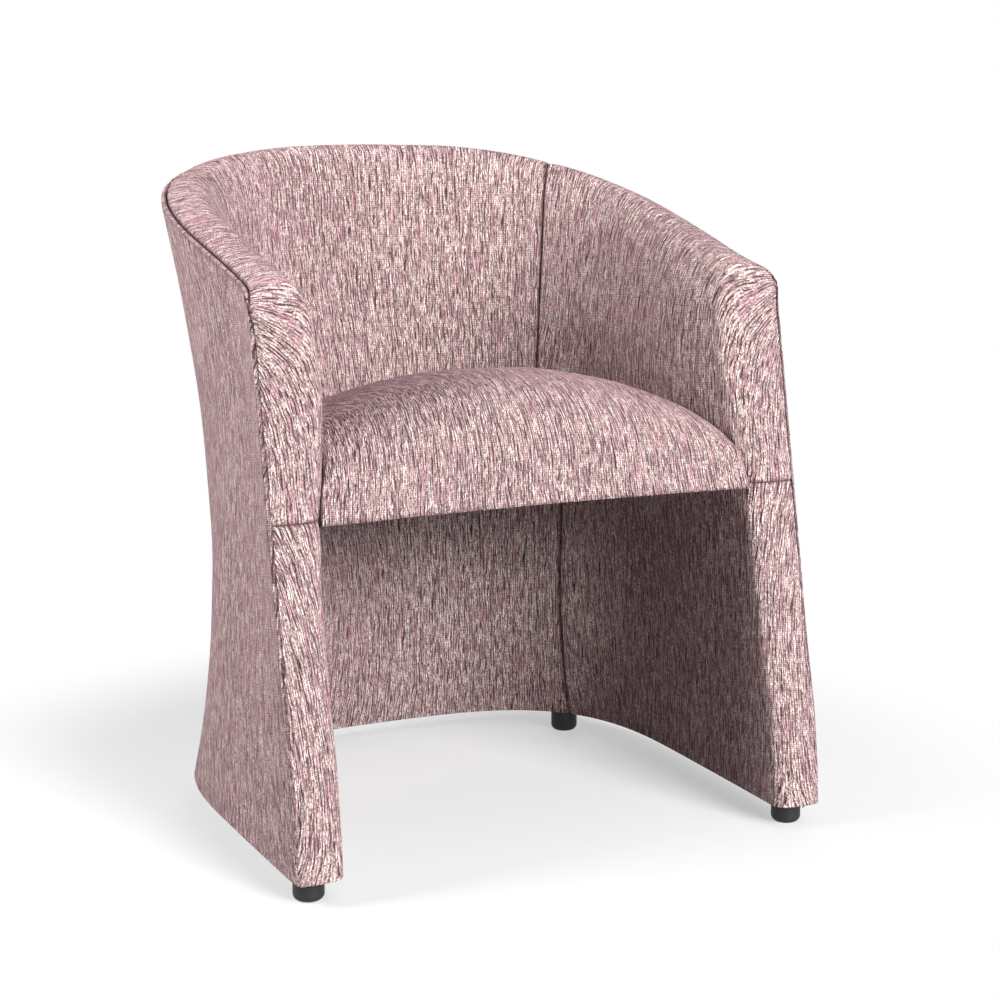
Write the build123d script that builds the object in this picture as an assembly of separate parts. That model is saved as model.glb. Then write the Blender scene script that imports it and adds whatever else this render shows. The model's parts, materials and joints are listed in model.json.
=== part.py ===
"""Upholstered tub chair: one curved wall runs round from arm to arm and carries a domed fixed seat.

Frame: +X to the sitter's left arm seen from the front right, -Y to the front, +Z up, floor at z = 0.
Everything in the wall is placed by three numbers: how far round it is, how deep behind the outer
fabric, and how high. So a change of the outer form, of a thickness or of a rail moves all that
bears on it.
"""

from build123d import *
from math import cos, hypot, pi, radians, sin, sqrt, tan
import os

os.makedirs("parts", exist_ok=True)

# --- Outer form, mm ---------------------------------------------------------------------------
# The wall's outline in plan is a superellipse with straight arms. Its size and squareness are
# given at four heights: the bottom edge, the waist, the seat and the rim.
FOOT_HEIGHT = 25.5
WAIST_HEIGHT = 200.0
LUMBAR_HEIGHT = 440.0
RIM_LEVEL = 690.0
BOTTOM_SIDE, WAIST_SIDE, LUMBAR_SIDE, RIM_SIDE = 303.0, 293.0, 280.0, 317.0
BOTTOM_BACK, WAIST_BACK, LUMBAR_BACK, RIM_BACK = 316.0, 298.0, 358.0, 404.0
BOTTOM_SQUARE, WAIST_SQUARE, LUMBAR_SQUARE, RIM_SQUARE = 2.8, 2.15, 2.55, 2.65
ARM_FRONT_HALF = 301.0      # half the width across the two arm fronts
ARM_LENGTH = 237.0          # from the front at floor level back to where the curve begins
FRONT_RAKE = 11.6           # degrees that the arm fronts lean back
RIM_FRONT_HEIGHT = 593.5    # seam at the top of the arm front
RIM_BACK_HEIGHT = 713.5     # seam at the middle of the back

# --- Section of the wall ------------------------------------------------------------------------
LOW_WALL = 52.0             # thickness under the seat
HIGH_WALL = 67.0            # thickness above it, with the arm padding
CLIMB_STEP = 40.0           # spacing of the points that draw a section's sides
WALL_GROWS_FROM = 300.0
WALL_GROWS_TO = 500.0
ROLL_IN = 38.0              # how far in from the seam the roll is highest
ROLL_RISE = 9.0             # how far above the seam
ROLL_DROP = 50.0            # where the roll has turned down to the inner face
NOSE_RADIUS = 15.0          # rounding of the inner edge of the arm fronts
NOSE_ZONE = 60.0            # stretch behind the arm fronts with parallel sections

# --- Materials ----------------------------------------------------------------------------------
COVER = 1.5                 # upholstery fabric with its backing
CLEAR = 0.3                 # fitting clearance between layers
SEAT_CLEAR = 0.6            # clearance of the seat's sides
WADDING = 4.0
BOARD = 3.0                 # fibreboard linings
TIMBER = 22.0               # thickness of the wall frame
CLOTH = 0.7                 # black lining cloth
FRONT_PAD = 7.0             # padding in front of the frame
SEAM_PITCH = 1.1            # fall of the rim seam for each millimetre that the roll draws in

# --- Frame --------------------------------------------------------------------------------------
BASE_RAIL_HEIGHT = 18.0     # ply ring under the wall
WAIST_RAIL_HEIGHT = 40.0
TOP_RAIL_HEIGHT = 55.0
TOP_RAIL_DROP = 22.0        # top of the upper rail below the rim seam
FRONT_POST_WIDTH = 45.0

# --- Seat ---------------------------------------------------------------------------------------
SEAT_LINE = 368.0           # lower edge of the seat front
FACING_SEAM = 373.0         # cross seam on the arm fronts
SEAT_BOARD = 15.0
BOARD_BORDER = 60.0         # width of the ply left round the opening of the seat board
BOARD_CORNER = 40.0
SEAT_EDGE_HEIGHT = 434.0    # top of the seat where it meets the arms
SEAT_CROWN = 58.0           # how much higher the middle is
SEAT_SQUARE = 2.35
SEAT_NOSE_HEIGHT = 400.0    # the seat front turns over above this
SEAT_NOSE_LENGTH = 87.0
SEAT_FALL = 28.0            # how much the top falls in the first 200 mm behind its highest line
SEAT_FALL_LENGTH = 200.0
SEAT_REACH = 420.0          # length of the domed top behind its highest line
FRONT_RAIL_HEIGHT = 28.0
FRONT_RAIL_WIDTH = 22.0
TURN_UNDER = 35.0           # seat cover stapled under the board
STRAP_WIDTH = 50.0
STRAP = 1.5
STRAP_COUNT = 4
STRAP_LAP = 25.0            # length of each strap on the ply

# --- Seams and posts in the curve, degrees from the middle of the back -------------------------------
BACK_POST_ANGLE = 6.0       # the middle post reaches this far to each side
INNER_SEAM_ANGLE = 38.0     # the rear post stands between this seam and the seam of the lining
OUTER_SEAM_ANGLE = 42.0     # on the rear post, as is the joint of the outer boards
LINING_SEAM_ANGLE = 46.5
SIDE_POST_START = 73.0
SIDE_POST_END = 82.0

# --- Feet and screws --------------------------------------------------------------------------------
FOOT_DIAMETER = 32.0
FOOT_EDGE = 7.0             # rounding of the foot's lower edge
FOOT_RECESS_DIAMETER = 14.0
FOOT_WEB = 10.0             # plastic left above the screw's recess
FRONT_FOOT_SETBACK = 38.0   # centre behind the arm front at floor level
REAR_FOOT_ANGLE = 44.0
SCREW_DIAMETER = 5.0
SCREW_HEAD_DIAMETER = 11.0
SCREW_HEAD = 3.5
FOOT_SCREW_LENGTH = 28.0
DECK_SCREW_LENGTH = 34.0
PILOT_CLEARANCE = 0.1
FOOT_INSET = 14.0           # feet stand this much nearer the inner face than the frame's middle
DECK_SCREW_ANGLES = (18.0, 58.0)     # and one in each front post

# --- Depths behind the outer fabric -------------------------------------------------------------------
WADDING_DEPTH = COVER + CLEAR
BOARD_DEPTH = WADDING_DEPTH + WADDING + CLEAR
FRAME_DEPTH = BOARD_DEPTH + BOARD + CLEAR
INNER_BOARD_DEPTH = FRAME_DEPTH + TIMBER + CLEAR
FOAM_DEPTH = INNER_BOARD_DEPTH + BOARD + CLEAR
FRAME_SETBACK = COVER + CLEAR + FRONT_PAD + CLEAR

# --- Heights of the frame ---------------------------------------------------------------------------
BASE_LOW = FOOT_HEIGHT + COVER + CLEAR
BASE_TOP = BASE_LOW + BASE_RAIL_HEIGHT
DECK_LOW = SEAT_LINE + COVER + CLEAR
DECK_TOP = DECK_LOW + SEAT_BOARD
WAIST_TOP = DECK_LOW - CLEAR
WAIST_LOW = WAIST_TOP - WAIST_RAIL_HEIGHT
SEAT_BED = DECK_TOP + CLEAR + 2 * (STRAP + CLEAR)

LEVELS = (FOOT_HEIGHT, WAIST_HEIGHT, LUMBAR_HEIGHT, RIM_LEVEL)
SIDES = (BOTTOM_SIDE, WAIST_SIDE, LUMBAR_SIDE, RIM_SIDE)
BACKS = (BOTTOM_BACK, WAIST_BACK, LUMBAR_BACK, RIM_BACK)
SQUARES = (BOTTOM_SQUARE, WAIST_SQUARE, LUMBAR_SQUARE, RIM_SQUARE)


def through(height, values):
    """The smooth curve that takes the four values at the four levels."""
    total = 0.0
    for i, level in enumerate(LEVELS):
        share = 1.0
        for j, other in enumerate(LEVELS):
            if i != j:
                share *= (height - other) / (level - other)
        total += values[i] * share
    return total


# The box is centred on the origin in plan: its front is the foot of the arm fronts, its back the rim.
FRONT_REACH = ARM_LENGTH - FOOT_HEIGHT * tan(radians(FRONT_RAKE))
BACK_REACH = through(RIM_BACK_HEIGHT, BACKS)
CURVE_Y = (FRONT_REACH - BACK_REACH) / 2
FLOOR_FRONT_Y = CURVE_Y - ARM_LENGTH


def front_y(height):
    """The raked plane of the arm fronts."""
    return FLOOR_FRONT_Y + height * tan(radians(FRONT_RAKE))


def outline(height, angle):
    """Radius of the outer face at an angle from the side, and how squarely the radius meets it."""
    side, back = through(height, SIDES), through(height, BACKS)
    square = through(height, SQUARES)
    across, along = abs(cos(angle)), abs(sin(angle))
    radius = ((across / side) ** square + (along / back) ** square) ** (-1 / square)
    slope_x = (across * radius / side) ** (square - 1) / side
    slope_y = (along * radius / back) ** (square - 1) / back
    lean = (slope_x * across + slope_y * along) / hypot(slope_x, slope_y)
    return radius, lean


def spot(way, depth, height):
    """A point in the wall. way is 0 at the middle of the back, 1 where the arms run straight,
    2 to 3 along the last stretch of the arm, and negative on the other side."""
    hand = 1 if way >= 0 else -1
    way = abs(way)
    if way <= 1:
        angle = pi / 2 * (1 - way)
        radius, lean = outline(height, angle)
        radius -= depth / lean
        return Vector(hand * radius * cos(angle), CURVE_Y + radius * sin(angle), height)
    front = front_y(height)
    if way <= 2:
        y = CURVE_Y + (way - 1) * (front + NOSE_ZONE - CURVE_Y)
    else:
        y = front + NOSE_ZONE * (3 - way)
    share = (CURVE_Y - y) / (CURVE_Y - front)
    side = through(height, SIDES)
    return Vector(hand * (side + (ARM_FRONT_HALF - side) * share**2 - depth), y, height)


def at_angle(degrees):
    """The way at an angle from the middle of the back."""
    return degrees / 90


def wall(height):
    """Thickness of the wall: it grows smoothly above the seat."""
    share = min(max((height - WALL_GROWS_FROM) / (WALL_GROWS_TO - WALL_GROWS_FROM), 0), 1)
    return LOW_WALL + (HIGH_WALL - LOW_WALL) * share * share * (3 - 2 * share)


def rim(way):
    """Height of the rim seam: it climbs steadily from the arm fronts to the middle of the back."""
    front = spot(3, 0, RIM_FRONT_HEIGHT).Y
    back = spot(0, 0, RIM_LEVEL).Y
    here = spot(way, 0, (RIM_FRONT_HEIGHT + RIM_LEVEL) / 2 if abs(way) <= 1 else RIM_FRONT_HEIGHT).Y
    share = min(max((here - front) / (back - front), 0), 1)
    return RIM_FRONT_HEIGHT + (RIM_BACK_HEIGHT - RIM_FRONT_HEIGHT) * share


def rail_top(way):
    """Height of the top of the upper rail."""
    return rim(way) - TOP_RAIL_DROP


def nose(way, inset):
    """How far the inner face draws in near the arm front, where its edge is rounded."""
    distance = NOSE_ZONE * (3 - abs(way)) if abs(way) > 2 else NOSE_ZONE
    if distance >= NOSE_RADIUS:
        return inset
    left = (NOSE_RADIUS - inset) ** 2 - (NOSE_RADIUS - distance) ** 2
    return NOSE_RADIUS - sqrt(max(left, 0))


def seam(way, inset):
    """Height of the seam between outside and inside covers. It turns down at the arm front."""
    return rim(way) - SEAM_PITCH * nose(way, inset)


# --- Sections and lofts -----------------------------------------------------------------------------
# Every piece of the wall is cut from the same row of sections, so its neighbours follow it exactly.


def behind_front(distance):
    """The way that lies this far behind the arm front."""
    return 3 - distance / NOSE_ZONE


def steps(start, end, count):
    """Equal steps from one angle to another, without the last one."""
    return [start + (end - start) * i / count for i in range(count)]


CURVE_ANGLES = [0.0] + steps(BACK_POST_ANGLE, INNER_SEAM_ANGLE, 3)
CURVE_ANGLES += [INNER_SEAM_ANGLE, OUTER_SEAM_ANGLE] + steps(LINING_SEAM_ANGLE, SIDE_POST_START, 3)
CURVE_ANGLES += [SIDE_POST_START, SIDE_POST_END, 90.0]
CURVE_WAYS = [at_angle(angle) for angle in CURVE_ANGLES]
NOSE_WAYS = [behind_front(NOSE_RADIUS * (1 - cos(radians(turn)))) for turn in (90, 60, 30, 0)]
SECTION_WAYS = CURVE_WAYS + [1.5, 2] + NOSE_WAYS


def at(value, *place):
    """A number, or a function of the place."""
    return value(*place) if callable(value) else value


def section_points(way, runs_at):
    """Points of a section. Between two sections of the row it lies straight between theirs."""
    hand = 1 if way >= 0 else -1
    size = min(abs(way), SECTION_WAYS[-1])
    after = next(i for i, mark in enumerate(SECTION_WAYS) if mark >= size - 1e-9)
    before = max(after - 1, 0)
    start, end = SECTION_WAYS[before], SECTION_WAYS[after]
    share = (size - start) / (end - start) if after else 0
    result = []
    for run_a, run_b in zip(runs_at(hand * start), runs_at(hand * end)):
        first = [spot(hand * start, *place) for place in run_a]
        second = [spot(hand * end, *place) for place in run_b]
        result.append([a + (b - a) * share for a, b in zip(first, second)])
    return result


def fractions(points):
    """How far along a run each of its points lies, from 0 to 1."""
    steps = [hypot(b[0] - a[0], b[1] - a[1]) for a, b in zip(points, points[1:])]
    return [sum(steps[:i]) / sum(steps) for i in range(len(points))]


def loft_between(start, end, runs_at):
    """Loft a section along the wall from one way to another."""
    marks = [-mark for mark in SECTION_WAYS[:0:-1]] + SECTION_WAYS
    ways = [start] + [mark for mark in marks if start + 1e-6 < mark < end - 1e-6] + [end]
    knots = [fractions(run) for run in runs_at(1)]
    wires = []
    for way in ways:
        edges = []
        for points, knot in zip(section_points(way, runs_at), knots):
            straight = len(points) == 2
            edge = Edge.make_line(*points) if straight else Edge.make_spline(points, parameters=knot)
            edges.append(edge)
        wires.append(Wire(edges))
    return Solid.make_loft(wires, ruled=True)


def climb(way, depth, low, high):
    """Points up the wall. Depth and ends may be functions of the way, and the depth of the height."""
    tall = at(high, 1) - at(low, 1)
    count = 3 if tall < 3 * CLIMB_STEP else 1 + round(tall / CLIMB_STEP)
    low, high = at(low, way), at(high, way)
    heights = [low + (high - low) * i / (count - 1) for i in range(count)]
    return [(at(depth, way, height), height) for height in heights]


def ring(up, down):
    """Close two runs into the outline of a section."""
    down = down[::-1]
    return [up, [up[-1], down[0]], down, [down[-1], up[0]]]


def slab_runs(outer, inner, low, high):
    """Section of a slab between two depths and two heights."""
    return lambda way: ring(climb(way, outer, low, high), climb(way, inner, low, high))


def inner_face(inset):
    """Depth of the inner face, drawn back by an inset and rounded at the arm front."""
    return lambda way, height: wall(height) - nose(way, inset)


def roll_foot(way):
    """Height at which the roll has turned down to the inner face."""
    return rim(way) - ROLL_DROP


def over_roll(way, inset, side, low):
    """Points from the rim seam over the roll and down the inner face."""
    draw = nose(way, inset)
    start, top, foot = seam(way, inset), rim(way) + ROLL_RISE - draw, roll_foot(way)
    points = []
    for share in (0, 1 / 3, 2 / 3):
        points.append((side + (ROLL_IN - side) * share, top - (top - start) * (1 - share) ** 2))
    across = wall(foot) - draw - ROLL_IN
    for turn in (0, pi / 6, pi / 3):
        points.append((ROLL_IN + across * sin(turn), foot + (top - foot) * cos(turn)))
    return points + climb(way, inner_face(inset), low, roll_foot)[::-1]


AT_FRAME = behind_front(FRAME_SETBACK)
BEFORE_FRAME = behind_front(FRAME_SETBACK - CLEAR)


def behind_face(low, high):
    """Space between two heights, behind the padding of the arm fronts and the seat front."""
    front = front_y(DECK_LOW) + FRAME_SETBACK - CLEAR
    size = 4 * ARM_FRONT_HALF
    return Pos(0, front + size / 2, (low + high) / 2) * Box(size, size, high - low)


def wrap_arm(start, back_runs, turn_runs, face_runs, inset, skin):
    """A piece that lies on the inner face of the arm, turns round its front edge and covers it."""
    piece = loft_between(start, BEFORE_FRAME, back_runs)
    front = BEFORE_FRAME
    if skin:
        piece += loft_between(front, behind_front(inset + skin), turn_runs)
        front = behind_front(inset + skin)
    return piece + loft_between(front, behind_front(inset), face_runs)


def write(name, shape):
    """Write one sub-part."""
    export_step(shape, f"parts/{name}.step")


def write_pair(name, shape):
    """Write a piece of the right side and its mirror image on the left."""
    write(f"{name}_right", shape)
    write(f"{name}_left", shape.mirror(Plane.YZ))


# --- Covers -----------------------------------------------------------------------------------------


def outside_covers():
    """The outside back and the two outside arms, up to the rim seam and forward to the front seam."""
    side_seam = at_angle(OUTER_SEAM_ANGLE)

    def top(way):
        return seam(way, COVER) - CLEAR

    runs = slab_runs(0, COVER, FOOT_HEIGHT, top)
    write("outside_back_cover", loft_between(-side_seam, side_seam, runs))
    arm = loft_between(side_seam, behind_front(WADDING_DEPTH), runs)
    write_pair("outside_arm_cover", arm)


def inside_cover_runs(low):
    """Section of the cover on the roll and the inner face."""

    def runs(way):
        return ring(over_roll(way, 0, 0, low), over_roll(way, COVER, COVER, low))

    return runs


def high_face_runs(inset, low):
    """Whole section of the upper wall, for what lies across the arm front."""

    def runs(way):
        over = over_roll(way, inset, inset, low)
        outer = climb(way, inset, low, lambda place: seam(place, inset))
        return [outer, over, [over[-1], outer[0]]]

    return runs


def inside_covers():
    """The inside back and the two inside arms, which go over the roll and round the arm fronts."""
    side_seam = at_angle(INNER_SEAM_ANGLE)
    write("inside_back_cover", loft_between(-side_seam, side_seam, inside_cover_runs(DECK_TOP + CLEAR)))
    low = FACING_SEAM + CLEAR / 2
    skin = inside_cover_runs(low)
    arm = wrap_arm(side_seam, skin, skin, high_face_runs(0, low), 0, COVER)
    write_pair("inside_arm_cover", arm - behind_face(SEAT_LINE, DECK_TOP + CLEAR))


def lining_covers():
    """Fabric on the inner face under the seat and on the lower arm fronts."""
    side_seam = at_angle(LINING_SEAM_ANGLE)
    deck, high = DECK_LOW - CLEAR, FACING_SEAM - CLEAR / 2
    back = slab_runs(inner_face(COVER), inner_face(0), FOOT_HEIGHT, deck)
    write("lining_back_cover", loft_between(-side_seam, side_seam, back))
    skin = slab_runs(inner_face(COVER), inner_face(0), FOOT_HEIGHT, high)
    face = slab_runs(0, inner_face(0), FOOT_HEIGHT, high)
    side = wrap_arm(side_seam, skin, skin, face, 0, COVER)
    write_pair("lining_side_cover", side - behind_face(deck, DECK_TOP))


def underside_cloth(holes):
    """Black cloth under the wall, which the feet press on."""
    runs = slab_runs(WADDING_DEPTH, inner_face(WADDING_DEPTH), FOOT_HEIGHT, FOOT_HEIGHT + COVER)
    write("underside_cloth", loft_between(-AT_FRAME, AT_FRAME, runs) - holes)


# --- Padding and linings ------------------------------------------------------------------------------


def inner_foams():
    """Foam of the back and arms: it pads the inner face, makes the roll and turns over the arm fronts."""
    side_seam = at_angle(INNER_SEAM_ANGLE)

    def over_rail(way):
        return rail_top(way) + CLEAR

    def foam_runs(low):
        def runs(way):
            over = over_roll(way, WADDING_DEPTH, WADDING_DEPTH, low)
            core = climb(way, FOAM_DEPTH, low, over_rail)
            ledge = (WADDING_DEPTH, over_rail(way))
            return [[ledge, over[0]], over, [over[-1], core[0]], core, [core[-1], ledge]]

        return runs

    write("back_foam", loft_between(-side_seam, side_seam, foam_runs(DECK_TOP + CLEAR)))
    low = FACING_SEAM + CLEAR / 2
    face = high_face_runs(WADDING_DEPTH, low)
    arm = wrap_arm(side_seam, foam_runs(low), None, face, WADDING_DEPTH, 0)
    write_pair("arm_foam", arm - behind_face(SEAT_LINE, DECK_TOP + CLEAR))


def lining_foams():
    """Thin foam behind the lower lining, and the padding of the lower arm fronts."""
    side_seam = at_angle(LINING_SEAM_ANGLE)
    low, deck, high = BASE_TOP + CLEAR, DECK_LOW - CLEAR, FACING_SEAM - CLEAR / 2
    inner = inner_face(WADDING_DEPTH)
    write("lining_back_foam", loft_between(-side_seam, side_seam, slab_runs(FOAM_DEPTH, inner, low, deck)))
    back = slab_runs(FOAM_DEPTH, inner, BASE_LOW, high)
    face = slab_runs(WADDING_DEPTH, inner, BASE_LOW, high)
    side = wrap_arm(side_seam, back, None, face, WADDING_DEPTH, 0)
    write_pair("lining_side_foam", side - behind_face(deck, DECK_TOP) - behind_face(FOOT_HEIGHT, low))


def linings():
    """Outer wadding, the fibreboards that it lies on, and the boards on the inner side of the frame."""

    wadding = slab_runs(WADDING_DEPTH, BOARD_DEPTH - CLEAR, BASE_LOW, rail_top)
    write("outer_wadding", loft_between(-AT_FRAME, AT_FRAME, wadding))
    board = slab_runs(BOARD_DEPTH, BOARD_DEPTH + BOARD, BASE_LOW, rail_top)
    side_seam = at_angle(OUTER_SEAM_ANGLE)
    write("outer_back_board", loft_between(-side_seam, side_seam, board))
    write_pair("outer_side_board", loft_between(side_seam, AT_FRAME, board))
    inner, deep = INNER_BOARD_DEPTH, INNER_BOARD_DEPTH + BOARD
    upper = slab_runs(inner, deep, DECK_TOP + CLEAR, rail_top)
    write("inner_upper_board", loft_between(-AT_FRAME, AT_FRAME, upper))
    lower = slab_runs(inner, deep, BASE_TOP + CLEAR, DECK_LOW - CLEAR)
    write("inner_lower_board", loft_between(-AT_FRAME, AT_FRAME, lower))


# --- Frame --------------------------------------------------------------------------------------------


def rails(foot_holes, deck_holes):
    """The three rings of the wall frame: base, waist and top."""
    base = slab_runs(FRAME_DEPTH, inner_face(WADDING_DEPTH), BASE_LOW, BASE_TOP)
    write("base_ring", loft_between(-AT_FRAME, AT_FRAME, base) - foot_holes)
    inner = FRAME_DEPTH + TIMBER
    waist = slab_runs(FRAME_DEPTH, inner, WAIST_LOW, WAIST_TOP)
    write("waist_rail", loft_between(-AT_FRAME, AT_FRAME, waist) - deck_holes)

    def low(way):
        return rail_top(way) - TOP_RAIL_HEIGHT

    top = slab_runs(FRAME_DEPTH, inner, low, rail_top)
    write("top_rail", loft_between(-AT_FRAME, AT_FRAME, top))


def posts():
    """Uprights: the lower ones carry the waist rail, the upper ones stand on the seat board."""
    spans = {
        "rear": (at_angle(INNER_SEAM_ANGLE), at_angle(LINING_SEAM_ANGLE)),
        "side": (at_angle(SIDE_POST_START), at_angle(SIDE_POST_END)),
        "front": (behind_front(FRAME_SETBACK + FRONT_POST_WIDTH), AT_FRAME),
    }
    inner = FRAME_DEPTH + TIMBER

    def under_rail(way):
        return rail_top(way) - TOP_RAIL_HEIGHT - CLEAR

    lower = slab_runs(FRAME_DEPTH, inner, BASE_TOP + CLEAR, WAIST_LOW - CLEAR)
    upper = slab_runs(FRAME_DEPTH, inner, DECK_TOP + CLEAR, under_rail)
    for name, ways in spans.items():
        write_pair(f"lower_{name}_post", loft_between(*ways, lower))
        write_pair(f"upper_{name}_post", loft_between(*ways, upper))
    half = at_angle(BACK_POST_ANGLE)
    write("lower_back_post", loft_between(-half, half, lower))
    write("upper_back_post", loft_between(-half, half, upper))


# --- Seat ---------------------------------------------------------------------------------------------


def plan_wire(depth, height, setback):
    """Outline round the inside of the wall at one height, closed by a straight line in front."""
    front = behind_front(setback)
    right = [way for way in SECTION_WAYS if way < front - 1e-6] + [front]
    ways = [-way for way in right[:0:-1]] + right
    points = [spot(way, at(depth, height), height) for way in ways]
    return Wire.make_polygon(points, close=True)


def plan_slab(depth, low, high, setback):
    """A flat board or cloth that fills the plan of the wall at a depth."""
    return Solid.make_loft([plan_wire(depth, height, setback) for height in (low, high)], True)


def well(clearance):
    """The space between the arms that the seat fills, from below its board to above its crown."""
    top = SEAT_EDGE_HEIGHT + SEAT_CROWN
    heights = [SEAT_LINE + (top - SEAT_LINE) * i / 5 for i in range(-1, 7)]
    outlines = [plan_wire(lambda z: wall(z) + clearance, height, -NOSE_ZONE / 2) for height in heights]
    return Solid.make_loft(outlines, ruled=True)


def seat_profile(x, inset, low):
    """Side view of the seat at one x: raked front, rounded nose and a crown that falls to the back."""
    half = ARM_FRONT_HALF - wall(SEAT_EDGE_HEIGHT)
    top = SEAT_EDGE_HEIGHT + SEAT_CROWN * (1 - abs(x / half) ** SEAT_SQUARE) - inset
    turn = SEAT_NOSE_HEIGHT
    start = front_y(turn) + inset
    points = []
    for step in range(4):
        angle = step * pi / 6
        y = start + (SEAT_NOSE_LENGTH - inset) * (1 - cos(angle))
        points.append(Vector(x, y, turn + (top - turn) * sin(angle)))
    reach = SEAT_REACH
    for step in (1, 2, 3):
        back = reach * step / 3
        fall = SEAT_FALL * (back / SEAT_FALL_LENGTH) ** 2
        points.append(Vector(x, front_y(turn) + SEAT_NOSE_LENGTH + back, top - fall))
    toe = Vector(x, front_y(low) + inset, low)
    heel = Vector(x, points[-1].Y, low)
    edges = [Edge.make_line(toe, points[0]), Edge.make_spline(points)]
    edges += [Edge.make_line(points[-1], heel), Edge.make_line(heel, toe)]
    return Wire(edges)


def seat_solid(inset, low):
    """The seat drawn in by an inset on its top, front and sides."""
    half = ARM_FRONT_HALF - LOW_WALL + 10
    dome = Solid.make_loft([seat_profile(half * i / 4, inset, low) for i in range(-4, 5)])
    return dome & well(SEAT_CLEAR + inset)


def front_rail_box(clearance):
    """Stiffener along the front edge of the seat board."""
    length = 2 * (ARM_FRONT_HALF - HIGH_WALL) - 2 * CLEAR - 2 * COVER - 4 + 2 * clearance
    front = front_y(DECK_TOP + FRONT_RAIL_HEIGHT) + FRAME_SETBACK
    place = Pos(0, front + FRONT_RAIL_WIDTH / 2, DECK_TOP + FRONT_RAIL_HEIGHT / 2)
    width, height = FRONT_RAIL_WIDTH + 2 * clearance, FRONT_RAIL_HEIGHT + 2 * clearance
    return place * Box(length, width, height)


def opening_size():
    """Width, depth and middle of the opening in the seat board."""
    width = 2 * (LUMBAR_SIDE - LOW_WALL - BOARD_BORDER)
    front = front_y(DECK_TOP) + FRAME_SETBACK + BOARD_BORDER
    back = CURVE_Y + WAIST_BACK - LOW_WALL - 1.5 * BOARD_BORDER
    return width, back - front, (front + back) / 2


def seat(deck_holes):
    """Seat board with its opening, straps, stiffener, foam, cover and the black cloth below."""
    width, length, middle = opening_size()
    board = plan_slab(FRAME_DEPTH, DECK_LOW, DECK_TOP, FRAME_SETBACK)
    opening = extrude(RectangleRounded(width, length, BOARD_CORNER), 2 * SEAT_BOARD)
    write("seat_board", board - Pos(0, middle, DECK_LOW - SEAT_BOARD / 2) * opening - deck_holes)
    write("seat_front_rail", front_rail_box(0))

    lap = 2 * STRAP_LAP
    low = DECK_TOP + CLEAR + STRAP / 2
    long_straps, cross_straps = [], []
    for i in range(STRAP_COUNT):
        share = (i + 0.5) / STRAP_COUNT - 0.5
        long_straps.append(Pos(width * share, middle, low) * Box(STRAP_WIDTH, length + lap, STRAP))
        place = Pos(0, middle + length * share, low + STRAP + CLEAR)
        cross_straps.append(place * Box(width + lap, STRAP_WIDTH, STRAP))
    write("seat_straps_long", Compound(long_straps))
    write("seat_straps_cross", Compound(cross_straps))

    foam = seat_solid(WADDING_DEPTH, DECK_LOW) - behind_face(SEAT_LINE, SEAT_BED) - front_rail_box(CLEAR)
    write("seat_foam", foam)

    cover = seat_solid(0, SEAT_LINE) - seat_solid(COVER, SEAT_LINE - TURN_UNDER)
    cover -= behind_face(SEAT_LINE - TURN_UNDER, DECK_TOP + CLEAR)
    front = front_y(SEAT_LINE + COVER)
    half = ARM_FRONT_HALF - LOW_WALL - WADDING_DEPTH - NOSE_RADIUS
    flap = Pos(0, front + COVER / 2 + TURN_UNDER / 2, SEAT_LINE + COVER / 2) * Box(2 * half, TURN_UNDER, COVER)
    write("seat_cover", cover + flap)

    cloth = plan_slab(lambda z: wall(z) + CLEAR, DECK_LOW - CLOTH, DECK_LOW, TURN_UNDER + WADDING_DEPTH)
    write("seat_lining_cloth", cloth)


# --- Feet and screws ------------------------------------------------------------------------------------


def foot_places():
    """Centres of the feet: name and way and depth."""
    depth = FRAME_DEPTH + TIMBER / 2 + FOOT_INSET
    front = spot(behind_front(FRONT_FOOT_SETBACK), FRAME_DEPTH + TIMBER / 2 + FOOT_INSET / 4, FOOT_HEIGHT)
    rear = spot(at_angle(REAR_FOOT_ANGLE), depth, FOOT_HEIGHT)
    return {"front": (front.X, front.Y), "rear": (rear.X, rear.Y)}


def turned(points):
    """A body of revolution about Z from (radius, height) points."""
    return revolve(make_face(Polyline(*[(r, 0, z) for r, z in points], close=True)), Axis.Z)


def foot():
    """Round plastic foot with a recess for its screw and a well-rounded lower edge."""
    radius, recess = FOOT_DIAMETER / 2, FOOT_RECESS_DIAMETER / 2
    hole = SCREW_DIAMETER / 2 + PILOT_CLEARANCE
    web = FOOT_HEIGHT - FOOT_WEB
    profile = [(hole, web), (recess, web), (recess, 0), (radius, 0), (radius, FOOT_HEIGHT), (hole, FOOT_HEIGHT)]
    body = turned(profile)
    rim_edge = body.edges().filter_by(GeomType.CIRCLE).filter_by(lambda e: e.center().Z < 0.1).sort_by(
        lambda e: e.radius)[-1]
    return fillet(rim_edge, FOOT_EDGE)


def screw(head_z, length, head_below):
    """Wood screw along Z: its head under or over head_z and its shank the other way."""
    shank, head = SCREW_DIAMETER / 2, SCREW_HEAD_DIAMETER / 2
    way = -1 if head_below else 1
    points = [(0, way * SCREW_HEAD), (head * 0.6, way * SCREW_HEAD), (head, way * SCREW_HEAD * 0.4)]
    points += [(head, 0), (shank, 0), (shank, -way * (length - shank)), (0, -way * length)]
    return Pos(0, 0, head_z) * turned(points)


def hole(low, high):
    """Cutter for a screw's hole."""
    return Pos(0, 0, (low + high) / 2) * Cylinder(SCREW_DIAMETER / 2 + PILOT_CLEARANCE, high - low)


def on_both_sides(places):
    """Places of the right side and their mirror images."""
    return [Pos(x, y, 0) for x, y in places] + [Pos(-x, y, 0) for x, y in places]


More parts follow.
